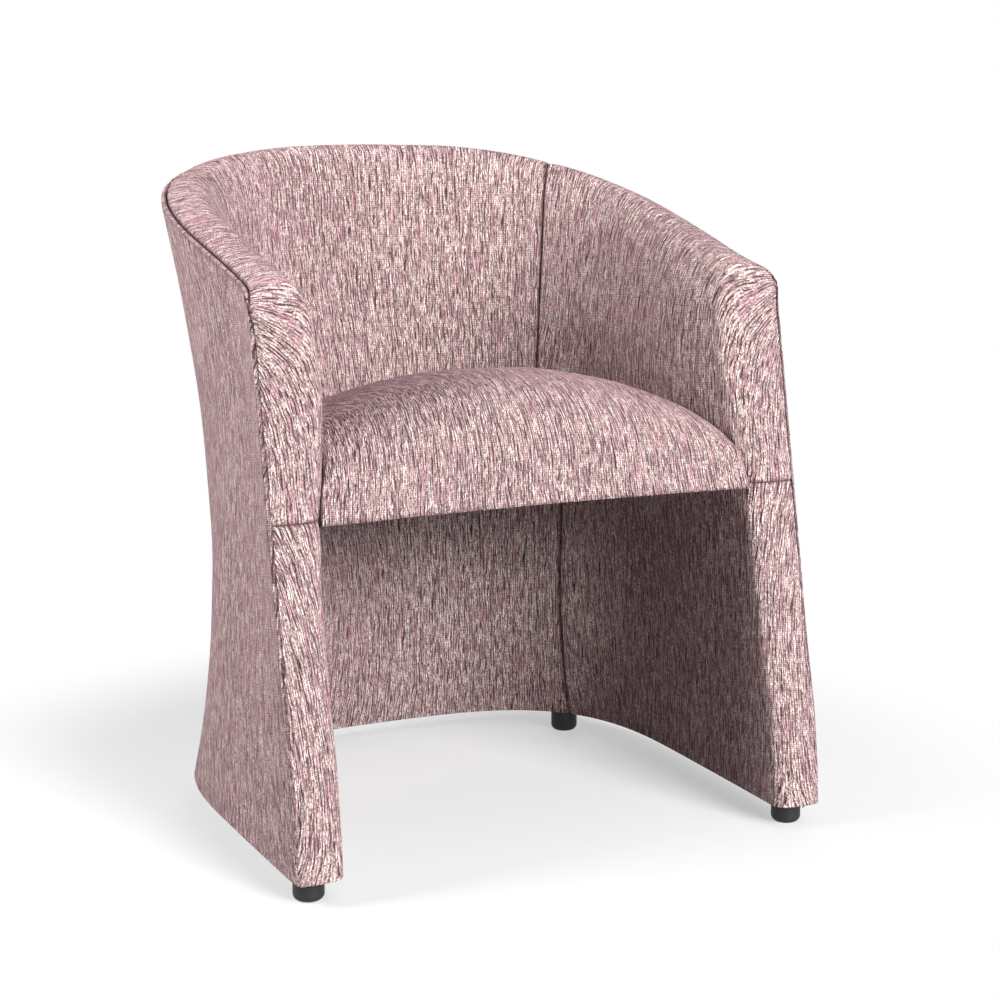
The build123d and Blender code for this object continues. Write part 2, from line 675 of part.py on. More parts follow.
feet = foot_places()
foot_spots = on_both_sides(feet.values())
head_level = FOOT_HEIGHT - FOOT_WEB
foot_holes = Compound([spot_ * hole(0, head_level + FOOT_SCREW_LENGTH + 1) for spot_ in foot_spots])
for end, (x, y) in feet.items():
    write_pair(f"foot_{end}", Pos(x, y, 0) * foot())
write("foot_screws", Compound([spot_ * screw(head_level, FOOT_SCREW_LENGTH, True) for spot_ in foot_spots]))

screw_middle = DECK_TOP - DECK_SCREW_LENGTH / 2
deck_ways = [at_angle(angle) for angle in DECK_SCREW_ANGLES]
deck_ways.append(behind_front(FRAME_SETBACK + FRONT_POST_WIDTH / 2))
deck_middle = [spot(way, FRAME_DEPTH + TIMBER / 2, screw_middle) for way in deck_ways]
deck_spots = on_both_sides([(point.X, point.Y) for point in deck_middle])
deck_holes = Compound([spot_ * hole(DECK_TOP - DECK_SCREW_LENGTH - 1, DECK_TOP + 1) for spot_ in deck_spots])
write("deck_screws", Compound([spot_ * screw(DECK_TOP, DECK_SCREW_LENGTH, False) for spot_ in deck_spots]))

outside_covers()
inside_covers()
lining_covers()
underside_cloth(foot_holes)
inner_foams()
lining_foams()
linings()
rails(foot_holes, deck_holes)
posts()
seat(deck_holes)
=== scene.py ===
# %% [markdown]
# # A tub chair in crinkled chenille
# This lesson dresses a finished frame: timber, foam and screws are already there as a fixed model.
# On the real chair an upholsterer cuts flat cloth into panels, sews some of them together, pulls them
# over the foam and staples them under the base. We do the same: each panel of cloth is one mesh, and
# the seams are the places where two panels dive towards each other.

# %% Load the fixed frame
import json
from math import cos, pi, radians, sin, tan

import bpy
import numpy as np
from mathutils import Matrix, Vector, noise


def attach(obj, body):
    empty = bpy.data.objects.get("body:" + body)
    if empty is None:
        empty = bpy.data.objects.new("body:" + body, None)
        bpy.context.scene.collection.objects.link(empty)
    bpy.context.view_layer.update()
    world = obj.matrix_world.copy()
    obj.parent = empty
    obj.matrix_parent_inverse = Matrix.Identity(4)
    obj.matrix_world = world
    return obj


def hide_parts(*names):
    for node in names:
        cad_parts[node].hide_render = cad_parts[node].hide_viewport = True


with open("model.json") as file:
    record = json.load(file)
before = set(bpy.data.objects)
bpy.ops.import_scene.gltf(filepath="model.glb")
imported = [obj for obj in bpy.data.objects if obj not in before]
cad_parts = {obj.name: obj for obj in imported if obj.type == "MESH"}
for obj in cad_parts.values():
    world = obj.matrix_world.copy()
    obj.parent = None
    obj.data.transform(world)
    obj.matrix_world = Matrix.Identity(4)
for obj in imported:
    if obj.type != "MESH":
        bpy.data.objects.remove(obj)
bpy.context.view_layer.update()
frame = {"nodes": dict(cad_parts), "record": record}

print("nodes in the frame:", len(frame["nodes"]))

# %% [markdown]
# ## The camera comes first
# The photograph was taken from the front left, a little above the seat, with a long lens. A matching
# camera lets every later step be compared with it. Its place, turn and lens were worked out from the
# vanishing points of the chair's straight edges.

# %% Set the camera
CAMERA_PLACE = (-0.9754, -2.2330, 0.7959)
CAMERA_TURN = radians(24.93)      # to the right of straight ahead
CAMERA_DIP = radians(10.77)       # below the horizon
CAMERA_ROLL = radians(-0.12)
CAMERA_LENS = 78.9                # mm on a 36 mm sensor

camera = bpy.data.objects.new("camera", bpy.data.cameras.new("camera"))
camera.data.lens = CAMERA_LENS
camera.location = CAMERA_PLACE
look = Vector((sin(CAMERA_TURN) * cos(CAMERA_DIP), cos(CAMERA_TURN) * cos(CAMERA_DIP), -sin(CAMERA_DIP)))
turn = look.to_track_quat("-Z", "Y").to_matrix().to_4x4() @ Matrix.Rotation(CAMERA_ROLL, 4, "Z")
camera.rotation_euler = turn.to_euler()
bpy.context.collection.objects.link(camera)
bpy.context.scene.camera = camera
print("camera lens:", CAMERA_LENS, "mm")

# %% [markdown]
# ## The form as a rule
# The wall is one shape from arm to arm. In plan it is a superellipse with straight arms, and its size
# and squareness change with height, which gives the waist. We could pull vertices about until it looks
# right, but the frame's solids follow a formula, so the cloth uses the same one and fits to the
# millimetre. Sizes are in millimetres from here on, and become metres when a mesh is made.

# %% Sizes of the chair, mm
MM = 0.001
LEVELS = (25.5, 200.0, 440.0, 690.0)          # bottom edge, waist, seat, rim
SIDES = (303.0, 293.0, 280.0, 317.0)          # half widths at those levels
BACKS = (316.0, 298.0, 358.0, 404.0)          # reach to the back at those levels
SQUARES = (2.8, 2.15, 2.55, 2.65)             # how square the curve is there
BOTTOM, SEAT_LINE, DECK = 25.5, 368.0, 386.0  # lower edge; underside and top of the seat board
FACING_SEAM = 373.0                           # seam across the arm front
RIM_FRONT, RIM_BACK = 593.5, 713.5            # height of the rim seam
ARM_FRONT_HALF, ARM_LENGTH = 301.0, 237.0     # half width at the arm fronts, length of the straight arm
FRONT_RAKE = radians(11.6)                    # lean of the arm front
TOE_KICK, TOE_REACH = 5.0, 28.0               # which stands upright at its foot
TOE_HOLLOW, HOLLOW_HEIGHT, HOLLOW_REACH = 3.4, 128.0, 48.0   # and is a little hollow above it
LOW_WALL, HIGH_WALL = 52.0, 67.0              # thickness of the wall, low down and high up
GROWS_FROM, GROWS_TO = 300.0, 500.0           # it grows between these heights
NOSE_RADIUS, NOSE_ZONE = 15.0, 60.0           # rounding of the arm front; length of the last way
SEAM_PITCH = 1.1                              # how steeply the rim seam turns down at the arm front
ROLL_IN, ROLL_RISE, ROLL_DROP = 38.0, 9.0, 50.0   # the roll's top, in from and over the seam; its depth
INNER_SEAM, OUTER_SEAM, LINING_SEAM = 38 / 90, 42 / 90, 46.5 / 90   # shares of the quarter turn
print("width at the rim, mm:", 2 * SIDES[-1])


# %% The outer face
def through(height, values):
    """The smooth curve through four values at the four levels."""
    total = 0.0
    for i, level in enumerate(LEVELS):
        share = 1.0
        for j, other in enumerate(LEVELS):
            if i != j:
                share = share * (height - other) / (level - other)
        total = total + values[i] * share
    return total


# The arms run straight in front of this line, and the curve of the back starts here.
CURVE_Y = (ARM_LENGTH - BOTTOM * tan(FRONT_RAKE) - through(RIM_BACK, BACKS)) / 2


def front_y(height):
    """Front of the arms: a raked line that is upright at the floor."""
    toe = TOE_KICK * np.exp(-(((height - BOTTOM) / TOE_REACH) ** 2))
    hollow = TOE_HOLLOW * np.exp(-(((height - HOLLOW_HEIGHT) / HOLLOW_REACH) ** 2))
    return CURVE_Y - ARM_LENGTH + height * tan(FRONT_RAKE) + toe - hollow


def spot(way, depth, height):
    """Points in the wall, as an array (..., 3) in mm. way is 0 at the middle of the back, 1 where the
    arms run straight and 3 at their fronts; depth is measured in from the outer cloth."""
    way, depth, height = np.broadcast_arrays(*(np.asarray(a, float) for a in (way, depth, height)))
    hand, size = np.where(way < 0, -1.0, 1.0), np.abs(way)
    angle = pi / 2 * (1 - np.minimum(size, 1))
    side, back, square = (through(height, values) for values in (SIDES, BACKS, SQUARES))
    across, along = np.abs(np.cos(angle)) + 1e-9, np.abs(np.sin(angle)) + 1e-9
    radius = ((across / side) ** square + (along / back) ** square) ** (-1 / square)
    slope_x = (across * radius / side) ** (square - 1) / side
    slope_y = (along * radius / back) ** (square - 1) / back
    radius = radius - depth * np.hypot(slope_x, slope_y) / (slope_x * across + slope_y * along)
    front = front_y(height)
    far = np.where(size <= 2, CURVE_Y + (size - 1) * (front + NOSE_ZONE - CURVE_Y),
                   front + NOSE_ZONE * (3 - size))
    share = np.clip((CURVE_Y - far) / (CURVE_Y - front), 0, None)
    straight = side + (ARM_FRONT_HALF - side) * share ** 2 - depth
    x = np.where(size <= 1, radius * across, straight)
    y = np.where(size <= 1, CURVE_Y + radius * along, far)
    return np.stack([hand * x, y, height], axis=-1)


def behind_front(way):
    """How far a way past 2 lies behind the arm front."""
    return NOSE_ZONE * (3 - np.abs(way))


def way_at(distance):
    """The way that lies a distance behind the arm front."""
    return 3 - distance / NOSE_ZONE


print("middle of the back at the seat, mm:", [round(float(v), 1) for v in spot(0, 0, LEVELS[2])])


# %% The wall, the rim seam and the rounded arm front
def wall(height):
    """Thickness of the wall."""
    share = np.clip((height - GROWS_FROM) / (GROWS_TO - GROWS_FROM), 0, 1)
    return LOW_WALL + (HIGH_WALL - LOW_WALL) * share * share * (3 - 2 * share)


def rim(way):
    """Height of the seam between the outside and the inside, before it turns down at the front."""
    front, back = spot(3.0, 0, RIM_FRONT)[1], spot(0.0, 0, LEVELS[-1])[1]
    level = np.where(np.abs(way) <= 1, (RIM_FRONT + LEVELS[-1]) / 2, RIM_FRONT)
    share = np.clip((spot(way, 0, level)[..., 1] - front) / (back - front), 0, 1)
    return RIM_FRONT + (RIM_BACK - RIM_FRONT) * share


def nose(way):
    """How far the rounding of the arm front draws the inner face in."""
    left = NOSE_RADIUS - np.clip(behind_front(way), 0, NOSE_RADIUS)
    return NOSE_RADIUS - np.sqrt(NOSE_RADIUS ** 2 - left ** 2)


def seam(way):
    """Height of the rim seam, which turns down at the arm front."""
    return rim(way) - SEAM_PITCH * nose(way)


print("rim seam at the front and back, mm:", [round(float(seam(way)), 1) for way in (3.0, 0.0)])

# %% [markdown]
# ## From a rule to cloth
# A panel is a grid of points, so one helper turns any grid into a mesh. Three things make it cloth
# rather than sheet metal: its borders are tucked in where it is sewn, it is drawn up in small puckers
# beside the thread, and it lies a little unevenly on the foam. All three are moves along the normal.

# %% Steps, normals and distances on a grid
SEWN_STEP, STEP_GROWTH = 0.9, 0.35            # mm, the step at a sewn border, and its growth per mm


def spaced(length, step, fine_start=True, fine_end=True, fine=SEWN_STEP):
    """Shares from 0 to 1 with about this step, and closer together at a sewn border."""
    shares, at = [0.0], 0.0
    while at < length:
        near = min(at if fine_start else 1e9, length - at if fine_end else 1e9)
        at += min(step, fine + near * STEP_GROWTH)
        shares.append(at)
    return np.array(shares) / shares[-1]


def normals_of(points):
    """Unit normals of a grid, from the directions of its rows and columns."""
    down, along = np.gradient(points, axis=0), np.gradient(points, axis=1)
    normal = np.cross(down, along)
    return normal / np.maximum(np.linalg.norm(normal, axis=-1, keepdims=True), 1e-9)


def lengths(points, axis):
    """Distance along the grid from its start, on one axis."""
    steps = np.linalg.norm(np.diff(points, axis=axis), axis=-1)
    zero = np.zeros_like(np.take(points[..., 0], [0], axis=axis))
    return np.concatenate([zero, np.cumsum(steps, axis=axis)], axis=axis)


def borders(points):
    """Distances of each point to the four borders: first and last row, first and last column."""
    rows, columns = lengths(points, 0), lengths(points, 1)
    return rows, rows[-1:] - rows, columns, columns[:, -1:] - columns


print("a 100 mm strip sewn at both ends has", len(spaced(100, 7)), "rows")

# %% Sewn borders and soft foam
PUCKER_PITCH, PUCKER_REACH, PULL_REACH = 13.0, 14.0, 6.0   # mm
PUCKER_STRAY, STRAY_LENGTH = 1.7, 31.0        # how far the puckers stray from their pitch, and how often
HEM_DEPTH = 6.0                               # mm, the hidden edge of cloth behind a seam
SEAM_SHADE, FLAT_SEAM = 3.2, 0.45             # mm, reach of the painted shade in a seam; its share in a flat seam
LUMP_SIZE, LUMP_LIFT, LUMP_FADE = 75.0, 0.6, 25.0   # mm; the foam's unevenness, which fades at a border


def tuck(points, sewn, outward, depth=3.6, width=1.5, pull=1.0, pucker=0.25, fade=1.0):
    """Sink the sewn borders, drawing the cloth beside them in and into puckers."""
    normal = normals_of(points) * outward
    rows, _, columns, _ = borders(points)
    move = np.zeros(points.shape[:2])
    for index, distance in enumerate(borders(points)):
        if not sewn[index]:
            continue
        along = columns if index < 2 else rows
        move -= depth * np.exp(-((distance / width) ** 1.4)) + pull * np.exp(-distance / PULL_REACH)
        ripple = np.sin(along * 2 * pi / PUCKER_PITCH + PUCKER_STRAY * np.sin(along / STRAY_LENGTH))
        move += pucker * ripple * np.exp(-distance / PUCKER_REACH) * (1 - np.exp(-distance / 2))
    return points + normal * (move * fade)[..., None]


def hem(points, direction, sewn, outward, fade=1.0, furrow=0.0):
    """Turn the sewn borders inwards, as the hidden edge of cloth behind a seam is. The third result is
    painted shade: 1 in a seam, less in a flat one, fading to 0 beside it, where less light gets in."""
    shades = [flag * np.exp(-((distance / SEAM_SHADE) ** 2))
              for distance, flag in zip(borders(points), sewn)]
    shade = np.maximum(np.max(np.stack(shades), axis=0), furrow)
    depth = HEM_DEPTH * fade * np.ones(points.shape[:2])
    grids = [points, direction, -normals_of(points) * outward * depth[..., None], shade]
    for index in range(4):
        if not sewn[index]:
            continue
        axis, last = index // 2, index % 2
        ends = [np.take(grid, [-last], axis=axis) for grid in grids]
        ends[0] = ends[0] + ends[2]
        grids = [np.concatenate([grid, end] if last else [end, grid], axis=axis)
                 for grid, end in zip(grids, ends)]
    points, direction, _, shade = grids
    return points, direction, shade


def uneven(points, outward, height, seed):
    """Let the surface rise and fall a little, as foam under cloth does, but not at its borders."""
    normal = normals_of(points) * outward
    fade = 1 - np.exp(-np.min(np.stack(borders(points)), axis=0) / LUMP_FADE)
    lumps = np.array([[noise.noise(Vector(p) / LUMP_SIZE + Vector((seed, 0, 0))) for p in row]
                      for row in points.tolist()])
    return points + normal * (height * (lumps + LUMP_LIFT) * fade)[..., None]


print("puckers on 1 m of seam:", round(1 / (PUCKER_PITCH * MM)))

# %% [markdown]
# ## Laying the threads
# The cloth has long dark yarns that run along its warp. On the roll they cross the rim at a right
# angle, on the arm fronts they fan round the corner, on the seat they run front to back. An ordinary
# unwrap knows nothing of that. So each panel says which way its threads run at every point, and a
# least-squares fit finds the two coordinates, across and along the threads, that follow those
# directions with the least stretch. They are kept as the panel's UV map, in metres.

# %% Fit the cloth's own coordinates
FIT_ROUNDS = 500


def fit_coordinate(points, slope):
    """The values on a grid whose slope is as near as can be to the wanted one (conjugate gradients)."""
    count = points.shape[0] * points.shape[1]
    index = np.arange(count).reshape(points.shape[:2])
    place, wanted = points.reshape(-1, 3), slope.reshape(-1, 3)
    starts = np.concatenate([index[:-1].ravel(), index[:, :-1].ravel()])
    ends = np.concatenate([index[1:].ravel(), index[:, 1:].ravel()])
    edge = place[ends] - place[starts]
    size = np.linalg.norm(edge, axis=1)
    keep = size > 1e-6
    starts, ends, edge, size = starts[keep], ends[keep], edge[keep], size[keep]
    target = np.sum(edge * (wanted[starts] + wanted[ends]) / 2, axis=1)
    weight = 1 / size

    def spread_back(values):
        return np.bincount(ends, values, count) - np.bincount(starts, values, count)

    diagonal = np.bincount(ends, weight, count) + np.bincount(starts, weight, count) + 1e-9
    guess = np.zeros(count)
    rest = spread_back(weight * target)
    step = rest / diagonal
    strength = rest @ step
    for _ in range(FIT_ROUNDS):
        pushed = spread_back(weight * (step[ends] - step[starts]))
        rate = strength / max(step @ pushed, 1e-20)
        guess, rest = guess + rate * step, rest - rate * pushed
        eased = rest / diagonal
        fresh = rest @ eased
        if fresh < 1e-10:
            break
        step, strength = eased + fresh / strength * step, fresh
    return guess.reshape(points.shape[:2])


def lay_threads(points, direction, shade):
    """For a grid and its thread directions: UV across and along the threads, and the painted shade at each
    seam.
    """
    normal = normals_of(points)
    flat = direction - normal * np.sum(direction * normal, axis=-1, keepdims=True)
    flat = flat / np.maximum(np.linalg.norm(flat, axis=-1, keepdims=True), 1e-9)
    across = fit_coordinate(points, np.cross(normal, flat))
    along = fit_coordinate(points, flat)
    return np.stack([across * MM, along * MM, shade], axis=-1)


print("rounds of the fit, at most:", FIT_ROUNDS)

# %% Turn a grid into a panel of cloth
CLOTH = 1.4                                   # mm, cloth and its backing


def squares(*corners):
    """Four-sided faces from four grids that hold the numbers of their corners."""
    return np.stack([grid.ravel() for grid in corners], axis=1)


def cloth_piece(name, points, faces, uv, material):
    """A piece from points and faces, with its thread coordinates and the painted shade at each seam."""
    mesh = bpy.data.meshes.new(name)
    mesh.from_pydata((points * MM).tolist(), [], faces)
    corners = np.empty(len(mesh.loops), int)
    mesh.loops.foreach_get("vertex_index", corners)
    mesh.uv_layers.new(name="threads").data.foreach_set("uv", uv[corners, :2].ravel())
    # the painted shade at each seam is kept on the mesh, for the cloth's colour
    mesh.attributes.new("seam_shade", "FLOAT", "POINT").data.foreach_set("value", uv[:, 2])
    mesh.shade_smooth()
    mesh.materials.append(material)
    piece = bpy.data.objects.new(name, mesh)
    bpy.context.collection.objects.link(piece)
    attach(piece, "root")
    return piece


def panel(name, points, uv, outward, material, mirror=False, thickness=CLOTH):
    """A closed panel: the grid outside, and the same grid one cloth thickness inwards."""
    if mirror:
        points, outward = points * (-1.0, 1.0, 1.0), -outward
    inner = points - normals_of(points) * outward * thickness
    index = np.arange(points[..., 0].size).reshape(points.shape[:2])
    skin = squares(index[:-1, :-1], index[1:, :-1], index[1:, 1:], index[:-1, 1:])
    loop = np.concatenate([index[:, 0], index[-1, 1:], index[::-1, -1][1:], index[0, ::-1][1:]])
    first, second = loop[:-1], loop[1:]
    edge = squares(second, first, first + index.size, second + index.size)
    faces = np.concatenate([skin, skin[:, ::-1] + index.size, edge])
    if outward < 0:
        faces = faces[:, ::-1]
    both = np.concatenate([points.reshape(-1, 3), inner.reshape(-1, 3)])
    both_uv = np.concatenate([uv.reshape(-1, 3)] * 2)
    return cloth_piece(name, both, faces.tolist(), both_uv, material)


print("the cloth is", CLOTH, "mm thick")

# %% [markdown]
# ## Finishes
# Each finish starts from what the real one is and how it was made. One small function adds a node with
# its settings and inputs, so that a finish reads as a list. Colours are written as the sRGB hex values
# that a colour picker shows and are turned to linear light once, here. Sizes are in millimetres.

# %% Helpers for finishes
TIMES, PLUS, LARGER, TIMES_PLUS, DIVIDED, ZIGZAG = (
    {"operation": kind} for kind in ("MULTIPLY", "ADD", "MAXIMUM", "MULTIPLY_ADD", "DIVIDE", "PINGPONG"))
SMOOTH = {"interpolation_type": "SMOOTHSTEP"}
COLOURS, MIXED = {"data_type": "RGBA"}, 2     # a Mix node of colours: share 0, colours 6 and 7, result 2


def linear(hex_colour):
    """sRGB hex to linear light, with alpha."""
    parts = [int(hex_colour[i:i + 2], 16) / 255 for i in (1, 3, 5)]
    return tuple(p / 12.92 if p <= 0.04045 else ((p + 0.055) / 1.055) ** 2.4 for p in parts) + (1.0,)


def add(tree, kind, settings, inputs, output=0):
    """One node: its settings, then its inputs, each a value, a hex colour or another node's output. It
    gives back one of its outputs."""
    node = tree.nodes.new(kind)
    for setting, value in settings.items():
        setattr(node, setting, value)
    for socket, value in inputs.items():
        if isinstance(value, bpy.types.NodeSocket):
            tree.links.new(value, node.inputs[socket])
        else:
            node.inputs[socket].default_value = linear(value) if isinstance(value, str) else value
    return node.outputs[output]


def finish(name, roughness, **sockets):
    """A new material, with the constant values of its shader."""
    material = bpy.data.materials.new(name)
    material.use_nodes = True
    shader = material.node_tree.nodes["Principled BSDF"]
    shader.inputs["Roughness"].default_value = roughness
    for socket, value in sockets.items():
        shader.inputs[socket.replace("_", " ")].default_value = value
    return material, material.node_tree, shader


def surface(tree, shader, colour, height=None, depth=0.0):
    """Give a finish its colour and, where it has a relief, that relief with a depth in mm."""
    tree.links.new(colour, shader.inputs["Base Color"])
    if height is not None:
        raised = add(tree, "ShaderNodeBump", {}, {"Height": height, "Distance": depth * MM, "Strength": 1.0})
        tree.links.new(raised, shader.inputs["Normal"])


def grain(tree, where, across, along, seed, detail=2.0):
    """Noise drawn out along the second axis; both sizes in mm. The seed moves it to another place."""
    scale = (1 / (across * MM), 1 / (along * MM), 1 / (across * MM))
    place = add(tree, "ShaderNodeMapping", {"vector_type": "POINT"},
                {"Vector": where, "Location": (seed * 7.3, seed * 3.1, seed * 1.7), "Scale": scale})
    return add(tree, "ShaderNodeTexNoise", {},
               {"Vector": place, "Scale": 1.0, "Detail": detail, "Roughness": 0.55}, "Fac")


print("mid grey in linear light:", round(linear("#808080")[0], 3))

# %% [markdown]
# ### The upholstery cloth
# A woven, crinkled chenille. Dark plum-brown yarns wander along the warp, a few millimetres apart, and
# fade in and out. Finer weft yarns cross them, so that the cream and pink pile between shows in small
# ticks, and the shrunken yarns draw the cloth up into shallow folds, whose shade is painted into the
# colour as broad dark streaks. We could paint this with one noise, but the eye sees separate yarns. So
# the coordinate across the cloth is folded at an even pitch, which gives parallel lines, and a
# drawn-out noise is added to it first, which lets them wander.

# %% Yarns and crinkled cloth
WANDER_ACROSS, WANDER_ALONG = 8.0, 38.0       # mm, over which a yarn keeps its direction


def yarns(tree, where, pitch, wander, width, seed):
    """1 on thin yarns that run along the cloth and wander sideways; all sizes in mm."""
    across = add(tree, "ShaderNodeSeparateXYZ", {}, {0: where}, "X")
    stray = grain(tree, where, WANDER_ACROSS, WANDER_ALONG, seed, 1.0)
    moved = add(tree, "ShaderNodeMath", TIMES_PLUS, {0: stray, 1: 2 * wander * MM, 2: across})
    phase = add(tree, "ShaderNodeMath", DIVIDED, {0: moved, 1: pitch * MM})
    away = add(tree, "ShaderNodeMath", ZIGZAG, {0: phase, 1: 0.5})
    away = add(tree, "ShaderNodeMath", TIMES, {0: away, 1: pitch})
    return add(tree, "ShaderNodeMapRange", SMOOTH, {
        "Value": away, "From Min": width * 0.25, "From Max": width * 0.75, "To Min": 1.0, "To Max": 0.0})


def crinkled_cloth():
    """Crinkled chenille: a soft cut pile in cream and dusty pink between dark yarns that shrank. It
    looks matt, with a soft pink sheen, and ticked along the warp. The ticks of the pile are under a
    millimetre on the real cloth, and are drawn 1.1 mm wide, about as fine as the picture shows."""
    material, tree, shader = finish("crinkled_mauve_chenille", 0.95, Sheen_Weight=0.30, Sheen_Roughness=0.5,
                                    Sheen_Tint=linear("#E3A5BC"), Specular_IOR_Level=0.12)
    threads = add(tree, "ShaderNodeUVMap", {"uv_map": "threads"}, {})
    crosswise = add(tree, "ShaderNodeVectorRotate", {"rotation_type": "Z_AXIS"},
                    {"Vector": threads, "Angle": pi / 2})

    def patches(across, along, seed, low, high):
        """Soft patches of a size in mm: 0 where their noise is low, 1 where it is high."""
        return add(tree, "ShaderNodeMapRange", SMOOTH, {
            "Value": grain(tree, threads, across, along, seed, 1.0), "From Min": low, "From Max": high})

    tone, pile = patches(5.0, 24.0, 1, 0.38, 0.62), patches(1.1, 3.4, 3, 0.36, 0.55)
    pink, slubs = patches(6.0, 34.0, 6, 0.52, 0.66), patches(2.6, 11.0, 9, 0.50, 0.62)
    weft = yarns(tree, crosswise, 2.3, 1.8, 0.9, 7)
    # the folds have no relief here: their shade is painted into the colour as broad dark streaks
    painted_fold_shade = add(tree, "ShaderNodeMath", TIMES, {0: yarns(tree, threads, 8.2, 7.0, 3.6, 12),
                                                1: patches(8.0, 15.0, 13, 0.42, 0.54)})
    strong = add(tree, "ShaderNodeMath", TIMES, {0: yarns(tree, threads, 3.4, 4.4, 1.1, 4),
                                                 1: patches(3.0, 17.0, 8, 0.41, 0.55)})
    fine = add(tree, "ShaderNodeMath", TIMES, {0: yarns(tree, threads, 2.4, 2.6, 0.9, 5), 1: 0.50})
    dark = add(tree, "ShaderNodeMath", LARGER, {0: strong, 1: fine})
    # painted shade read from the mesh: in the seams, in the furrows beside the topstitch and in the gap
    # beside the seat
    painted_seam_shade = add(tree, "ShaderNodeAttribute", {"attribute_name": "seam_shade"}, {}, "Fac")

    colour = add(tree, "ShaderNodeMix", COLOURS, {0: tone, 6: "#CDA1A5", 7: "#F5E0D8"}, MIXED)
    colour = add(tree, "ShaderNodeMix", COLOURS, {0: 0.60, 6: colour, 7: "#FFF8EE"}, MIXED)
    colour = add(tree, "ShaderNodeMix", COLOURS, {0: pile, 6: "#AC7E82", 7: colour}, MIXED)
    # layers of tint over the cloth; the fold and seam layers are painted shade
    for layer, strength, tint in (
            (pink, 0.45, "#D39AA9"), (slubs, 0.36, "#85585F"), (weft, 0.36, "#7C555B"),
            (painted_fold_shade, 0.40, "#4A3036"), (dark, 0.92, "#3A2123"), (painted_seam_shade, 0.90, "#2A1719")):
        share = add(tree, "ShaderNodeMath", TIMES, {0: layer, 1: strength})
        colour = add(tree, "ShaderNodeMix", COLOURS, {0: share, 6: colour, 7: tint}, MIXED)
    height = 0.0
    for layer, rise in ((pile, 0.35), (dark, -1.0), (tone, 1.2), (slubs, -1.0)):
        height = add(tree, "ShaderNodeMath", TIMES_PLUS, {0: layer, 1: rise, 2: height})
    surface(tree, shader, colour, height, 1.5)
    return material


cloth = crinkled_cloth()
print("cloth nodes:", len(cloth.node_tree.nodes))

# %% [markdown]
# ### What lies under the cloth
# The frame's own parts keep their shapes and only get their finishes: planed softwood with growth
# rings, birch plywood, brown hardboard, black elastic webbing, zinc-plated screws and the matt moulded
# feet. These patterns lie on Object coordinates, since the parts have no UV map.


# %% Black nylon, lining and webbing
def moulded_black():
    """Glass-filled nylon from a mould: black, with a fine spark-eroded grain that dulls the highlight."""
    material, tree, shader = finish("moulded_black_nylon", 0.55, Specular_IOR_Level=0.4)
    where = add(tree, "ShaderNodeTexCoord", {}, {}, "Object")
    grit = grain(tree, where, 0.6, 0.6, 1, 3.0)
    colour = add(tree, "ShaderNodeMix", COLOURS, {0: grit, 6: "#121213", 7: "#1E1E20"}, MIXED)
    surface(tree, shader, colour, grit, 0.06)
    return material


def black_spunbond():
    """Spunbonded lining: fibres pressed together at points 2.5 mm apart, which look like a fine dot
    pattern in matt black."""
    material, tree, shader = finish("black_spunbond_lining", 0.85, Specular_IOR_Level=0.3)
    where = add(tree, "ShaderNodeTexCoord", {}, {}, "Object")
    dots = add(tree, "ShaderNodeTexVoronoi", {"feature": "F1"},
               {"Vector": where, "Scale": 1 / (2.5 * MM), "Randomness": 0.15}, "Distance")
    fibres = grain(tree, where, 0.9, 2.5, 2, 4.0)
    colour = add(tree, "ShaderNodeMix", COLOURS, {0: fibres, 6: "#141416", 7: "#26262A"}, MIXED)
    surface(tree, shader, colour, add(tree, "ShaderNodeMath", PLUS, {0: dots, 1: fibres}), 0.2)
    return material


def webbing():
    """Elastic webbing, woven black with raised ribs, so matt and faintly striped. The real ribs are
    about 2 mm apart, and are drawn at 7 to 9 mm so that they show."""
    material, tree, shader = finish("black_elastic_webbing", 0.8)
    where = add(tree, "ShaderNodeTexCoord", {}, {}, "Object")
    ribs = add(tree, "ShaderNodeTexWave", {"bands_direction": "DIAGONAL"},
               {"Vector": where, "Scale": 50.0}, "Fac")
    colour = add(tree, "ShaderNodeMix", COLOURS, {0: ribs, 6: "#16161A", 7: "#2C2C31"}, MIXED)
    surface(tree, shader, colour, ribs, 0.4)
    return material


nylon, spunbond = moulded_black(), black_spunbond()
print("black finishes:", nylon.name, spunbond.name)


# %% Timber, boards and screws
def timber(name, dark, light, ring, along):
    """Planed wood: matt, with darker lines along one axis where the growth rings are cut, a ring and a
    length apart in mm. Hardboard is pressed from fibres, so its grain is as short as it is wide."""
    material, tree, shader = finish(name, 0.6)
    where = add(tree, "ShaderNodeTexCoord", {}, {}, "Object")
    lines = add(tree, "ShaderNodeMapRange", SMOOTH,
                {"Value": grain(tree, where, ring, along, 3, 3.0), "From Min": 0.35, "From Max": 0.65})
    colour = add(tree, "ShaderNodeMix", COLOURS, {0: lines, 6: dark, 7: light}, MIXED)
    surface(tree, shader, colour, lines, 0.15)
    return material


def plated_steel():
    """Zinc plate on steel: a pale, bright metal with a faint yellow and blue drift."""
    material, tree, shader = finish("zinc_plated_steel", 0.32, Metallic=1.0)
    where = add(tree, "ShaderNodeTexCoord", {}, {}, "Object")
    drift = grain(tree, where, 4.0, 4.0, 4)
    surface(tree, shader, add(tree, "ShaderNodeMix", COLOURS, {0: drift, 6: "#B9BCC0", 7: "#C8C3AE"}, MIXED))
    return material


finishes = {
    "softwood": timber("planed_pine", "#B98A55", "#D9B582", 4.0, 90.0),
    "plywood": timber("birch_plywood", "#C7A676", "#E0C79C", 6.0, 120.0),
    "fibreboard": timber("brown_hardboard", "#5B4230", "#6E5240", 1.5, 1.5),
    "webbing": webbing(),
    "screw_steel": plated_steel(),
    "black_plastic": nylon,
}
slots = {part["node"]: part["material_slot"] for part in frame["record"]["subparts"]}
for node, part in frame["nodes"].items():
    if slots[node] in finishes:
        for place in part.material_slots:
            place.material = finishes[slots[node]]
print("finished:", sorted(finishes))

